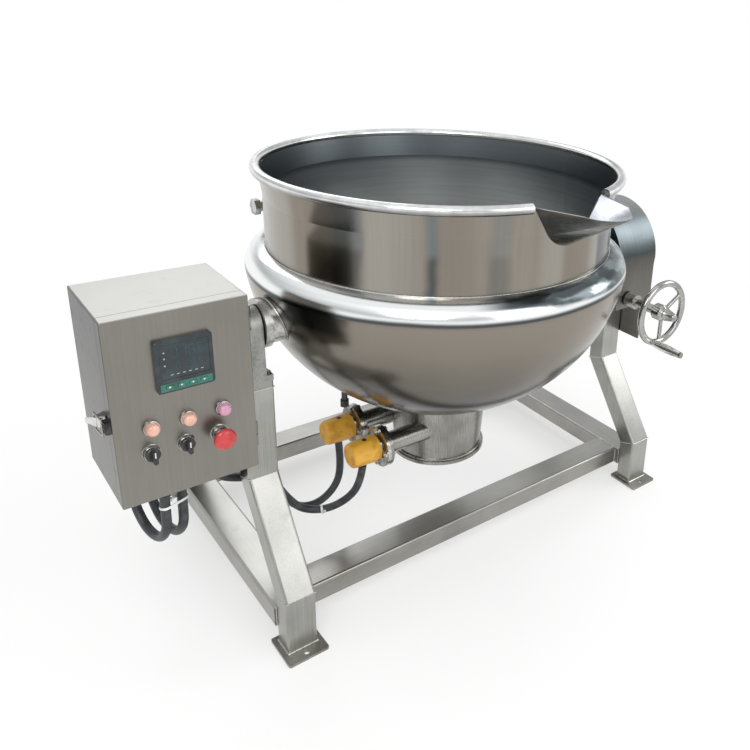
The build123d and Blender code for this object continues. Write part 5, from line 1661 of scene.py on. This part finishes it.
@dataclass
class Drive:
    """The worm gear, its guard and the handwheel."""

    wheel_x: float = 465.0
    worm_z: float = 577.0
    nose_y: float = -463.0
    guard_face: float = 563.0
    cone: Profile = (
        (16.4, 0.0),
        (16.8, 0.6),
        (16.8, 3.0),
        (16.0, 3.8),
        (10.6, 27.0),
        (9.4, 30.0),
        (6.8, 32.2),
        (3.4, 33.2),
        (0.0, 33.4),
    )
    screw_places: Profile = (
        (-311.0, 672.0),
        (-61.0, 672.0),
        (-292.0, 560.0),
        (-80.0, 560.0),
        (-270.0, 440.0),
        (-102.0, 440.0),
    )

    def dress(self) -> None:
        """Dresses the drive's own nodes."""
        STORE.dress(MACHINED, "worm_shaft")
        STORE.dress(GUARD, "gear_guard")
        STORE.dress(CHROME, "handwheel")
        STORE.dress(BRIGHT_STEEL, "handle_grip")

    def build(self) -> None:
        """Dresses the drive and adds its small fixings."""
        self.dress()
        nose = Blank("wheel_nose")
        nose.turned(self.cone, (self.wheel_x, self.nose_y, self.worm_z), OUT_OF_DOOR, 48)
        nose.finish(CHROME, Body.WORM)
        screws = Blank("guard_screws")
        profile = ((5.2, 0.0), (5.2, 1.0), (4.2, 2.2), (2.0, 2.8), (1.8, 1.9), (0.0, 1.9))
        for y, z in self.screw_places:
            screws.turned(profile, (self.guard_face, y, z), X_AXIS, 28)
        screws.finish(BOLT_STEEL, Body.STAND)


# Control box


LIT_BARS = ("abcdef", "bc", "abged", "abgcd", "fgbc", "afgcd", "afgedc", "abc", "abcdefg", "abcdfg")


@dataclass(frozen=True)
class Reading:
    """One row of digits on the meter, with its place from the meter's middle."""

    numbers: tuple[int, ...]
    start: float
    pitch: float
    rise: float
    high: float


@dataclass
class ControlBox:
    """The sheet box with its door, meter, lamps and switches."""

    left: float = -824.0
    right: float = -584.0
    front: float = -354.0
    door_back: float = -328.0
    bottom: float = 465.0
    top: float = 815.0
    meter_x: float = -702.0
    meter_z: float = 717.0
    meter_face: float = -364.0
    key_z: float = 680.0
    key_pitch: float = 19.0
    key_gap: float = 6.2
    key_low: float = 676.4
    key_high: float = 683.6
    band_low: float = 672.6
    band_high: float = 686.6
    band_half: float = 43.0
    readings: tuple[Reading, ...] = (
        Reading((0, 1, 8, 5), -16.0, 14.0, 24.0, 17.0),
        Reading((0, 2, 0, 0), -12.0, 12.0, 0.0, 12.0),
    )
    lamp_z: float = 609.0
    lamp_xs: tuple[float, float, float] = (-765.0, -704.0, -643.0)
    knob_z: float = 561.0
    knob_xs: tuple[float, float] = (-769.0, -711.0)
    stop_x: float = -653.0
    latch_pivot: Point = (-833.0, -316.0, 625.0)
    latch_half: float = 9.0
    latch_lean: float = 32.0

    def dress(self) -> None:
        """Dresses the box's own nodes."""
        STORE.dress(BOX_STEEL, "control_box", "box_door")
        STORE.dress(MACHINED, "hinge_pins", "latch_bail", "latch_base")
        STORE.dress(ZINC, "mounting_plate")
        STORE.dress(SWITCH_GREY, "contactors")
        STORE.dress(GLAND_PLASTIC, "cable_glands")
        STORE.dress(METER_PLASTIC, "panel_meter")
        STORE.dress(DARK_STEEL, "latch_catch")
        STORE.dress(SWITCH_METAL, "switch_collars")
        STORE.dress(BLACK_PLASTIC, "left_selector", "right_selector")
        STORE.dress(KEY_PLASTIC, *(f"meter_key_{index}" for index in range(1, 5)))

    def seal(self) -> None:
        """Makes the door's rubber seal, the dark line between door and box."""
        seal = Blank("door_seal")
        y0, y1 = self.door_back - 1.6, self.door_back + 0.9
        left, right, low, high = self.left + 0.4, self.right - 2.6, self.bottom + 2.6, self.top - 2.6
        seal.slab((left, y0, low), (left + 8, y1, high), 0.4)
        seal.slab((right - 8, y0, low), (right, y1, high), 0.4)
        seal.slab((left, y0, low), (right, y1, low + 8), 0.4)
        seal.slab((left, y0, high - 8), (right, y1, high), 0.4)
        seal.finish(GASKET_RUBBER, Body.DOOR)

    def latch(self) -> None:
        """Makes the latch's handle: a barrel round its pin and a tapered tongue with a curled tip."""
        handle = Blank("latch_handle")
        x, y, z = self.latch_pivot
        half = self.latch_half
        lean = math.radians(self.latch_lean)
        out = Vector((-math.sin(lean), math.cos(lean), 0.0))
        flat = Vector((-math.cos(lean), -math.sin(lean), 0.0))
        handle.hoop(((2.1, -half), (4.4, -half), (4.4, half), (2.1, half)), (x, y, z), Z_AXIS, 40)
        up = Vector(Z_AXIS)
        rings = []
        shape = (
            (3.6, half - 0.4, 3.0),
            (9.0, half - 1.0, 3.6),
            (14.0, 6.6, 3.8),
            (19.0, 5.6, 3.8),
            (22.0, 5.2, 4.4),
            (24.0, 5.0, 5.8),
        )
        for along, wide, rise in shape:
            middle = Vector((x, y, z)) + out * along + flat * rise
            corners = ((-wide, -0.9), (wide, -0.9), (wide, 0.9), (-wide, 0.9))
            rings.append([middle + up * side + flat * thick for side, thick in corners])
        handle.rings(rings)
        handle.finish(BRIGHT_STEEL, Body.LATCH, ("latch_lever",))

    def segment(self, blank: Blank, u: float, v: float, along_u: bool, length: float, thick: float) -> None:
        """Adds one lit bar of a digit.

        Args:
            blank: The mesh that takes the bar.
            u: Its middle, sideways.
            v: Its middle, upwards.
            along_u: Whether it lies level.
            length: Its length.
            thick: Its width.
        """
        half, wide = length / 2, thick / 2
        end = half - wide
        outline = ((-half, 0.0), (-end, wide), (end, wide), (half, 0.0), (end, -wide), (-end, -wide))
        face = self.meter_face + 0.75
        rings = []
        for y in (face, face - 0.25):
            ring = []
            for along, side in outline:
                a, b = (along, side) if along_u else (side, along)
                ring.append(Vector((u + a, y, v + b)))
            rings.append(ring)
        blank.rings(rings)

    def digit(self, blank: Blank, number: int, u: float, v: float, high: float) -> None:
        """Adds one seven-bar digit.

        Args:
            blank: The mesh that takes it.
            number: The digit.
            u: Its middle, sideways.
            v: Its middle, upwards.
            high: Its height.
        """
        wide = high * 0.52
        bars = {
            "a": (0.0, high / 2, True, wide),
            "g": (0.0, 0.0, True, wide),
            "d": (0.0, -high / 2, True, wide),
            "f": (-wide / 2, high / 4, False, high / 2),
            "b": (wide / 2, high / 4, False, high / 2),
            "e": (-wide / 2, -high / 4, False, high / 2),
            "c": (wide / 2, -high / 4, False, high / 2),
        }
        for letter in LIT_BARS[number]:
            du, dv, level, length = bars[letter]
            self.segment(blank, u + du, v + dv, level, length * 0.94, high * 0.13)

    def meter(self) -> None:
        """Makes the meter's window, digits, dots, band and marks."""
        x, z, face = self.meter_x, self.meter_z, self.meter_face
        window = Blank("meter_window")
        window.slab((x - 40.4, face + 0.7, z + 9 - 31.4), (x + 40.4, face + 1.05, z + 9 + 31.4), 0.12)
        window.finish(METER_WINDOW, Body.DOOR)
        digits = Blank("meter_digits")
        for row in self.readings:
            for place, number in enumerate(row.numbers):
                self.digit(digits, number, x + row.start + place * row.pitch, z + row.rise, row.high)
        digits.finish(DIGIT_GLOW, Body.DOOR)
        dots = Blank("meter_dots")
        for up in (27.0, 16.0, 3.0):
            dots.turned(((1.5, 0.0), (1.5, 0.3), (0.9, 0.5)), (x - 33, face + 1.0, z + up), OUT_OF_DOOR, 16)
        for index in range(6):
            low = (x - 25 + index * 10, face + 0.6, z - 16.5)
            dots.slab(low, (low[0] + 4.5, face + 0.95, low[2] + 1.5), 0.1)
        dots.finish(DOT_GLOW, Body.DOOR)
        band = Blank("meter_band")
        left, right = x - self.band_half, x + self.band_half
        for low, high in ((self.band_low, self.key_low), (self.key_high, self.band_high)):
            band.slab((left, face - 0.22, low), (right, face + 0.1, high), 0.08)
        ends = [left]
        for index in range(4):
            centre = x + (index - 1.5) * self.key_pitch
            ends += [centre - self.key_gap, centre + self.key_gap]
        ends.append(right)
        for start, end in zip(ends[::2], ends[1::2]):
            band.slab((start, face - 0.22, self.key_low), (end, face + 0.1, self.key_high), 0.08)
        band.finish(METER_BAND, Body.DOOR)
        for index in range(4):
            centre = x + (index - 1.5) * self.key_pitch
            mark = Blank(f"key_mark_{index + 1}")
            sides, turn = ((4, 45.0), (3, 180.0), (3, 90.0), (3, -90.0))[index]
            mark.prism(sides, 2.1, (centre, face - 1.15, self.key_z), OUT_OF_DOOR, 0.22, turn)
            piece = mark.finish(MARK_WHITE, Body.DOOR)
            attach(piece, f"key_{index + 1}")

    def lamps(self) -> None:
        """Makes the three pilot lamps, each a metal ring with a domed lens."""
        rings = Blank("lamp_rings")
        bodies = Blank("lamp_bodies")
        lenses = []
        for index, x in enumerate(self.lamp_xs):
            centre = (x, self.front, self.lamp_z)
            section = ((11.6, 0.1), (14.5, 0.1), (14.5, 3.6), (13.6, 5.2), (12.2, 5.8), (11.6, 5.4))
            rings.hoop(section, centre, OUT_OF_DOOR)
            barrel = ((0.0, -38.0), (8.0, -38.0), (8.6, -36.0), (11.0, -30.0), (11.0, 2.0))
            bodies.turned(barrel, centre, OUT_OF_DOOR)
            lens = Blank(f"lamp_lens_{index + 1}")
            profile = [(11.5, 1.0), (11.5, 11.6), (11.2, 13.4)] + dome(11.2, 13.4, 7.0, 10)
            lens.turned(tuple(profile), centre, OUT_OF_DOOR, 56)
            lens.hoop(((11.2, 6.6), (11.9, 6.9), (11.9, 7.6), (11.2, 7.9)), centre, OUT_OF_DOOR)
            lenses.append((lens, ROSE_LENS if index == 2 else PEACH_LENS))
        rings.finish(SWITCH_METAL, Body.DOOR, ("lamps",))
        bodies.finish(BLACK_PLASTIC, Body.DOOR)
        for lens, finish in lenses:
            lens.finish(finish, Body.DOOR)

    def switches(self) -> None:
        """Makes the selectors' white lines, the bright bezels and the stop button's mushroom."""
        for x, body in zip(self.knob_xs, (Body.LEFT_KNOB, Body.RIGHT_KNOB)):
            mark = Blank(f"{body.value}_line")
            face = self.front - 25.0
            mark.slab((x - 0.9, face - 0.3, self.knob_z + 1), (x + 0.9, face + 0.2, self.knob_z + 11.4), 0.12)
            mark.finish(MARK_WHITE, body)
        bezels = Blank("switch_bezels")
        for x, reach in ((*((x, 6.0) for x in self.knob_xs), (self.stop_x, 8.0))):
            section = (
                (13.2, reach - 0.4),
                (14.2, reach - 0.2),
                (14.6, reach - 1.6),
                (14.8, 0.6),
                (15.6, 0.2),
                (15.6, 0.02),
                (13.2, 0.02),
            )
            bezels.hoop(section, (x, self.front, self.knob_z), OUT_OF_DOOR)
        bezels.finish(CHROME, Body.DOOR)
        head = Blank("stop_mushroom")
        profile = [(0.0, 24.6), (13.0, 24.6), (17.4, 24.9), (19.3, 26.4), (20.0, 28.2), (20.0, 30.6)]
        profile += dome(20.0, 30.6, 8.6, 9, 0.8)
        profile.append((0.0, 39.3))
        head.turned(tuple(profile), (self.stop_x, self.front, self.knob_z), OUT_OF_DOOR, 64)
        head.finish(STOP_RED, Body.STOP_HEAD, ("stop_button",))
        stem = Blank("stop_stem")
        profile = ((7.4, -20.0), (7.4, 9.0), (6.6, 11.0), (6.6, 21.0), (9.6, 24.0), (9.6, 24.8))
        stem.turned(profile, (self.stop_x, self.front, self.knob_z), OUT_OF_DOOR, 40)
        stem.finish(PALE_STEM, Body.STOP_HEAD)

    def build(self) -> None:
        """Builds the box's added pieces and dresses the rest."""
        self.dress()
        self.seal()
        self.latch()
        self.meter()
        self.lamps()
        self.switches()


def main() -> None:
    """Builds the studio, then every part of the kettle in order."""
    logging.basicConfig(level=logging.INFO, format="%(name)s: %(message)s")
    for part in (Studio(), Wiring(), Stand(), Kettle(), Heaters(), Drive(), ControlBox()):
        LOG.info("building %s", type(part).__name__)
        part.build()


if __name__ == "__main__":
    main()
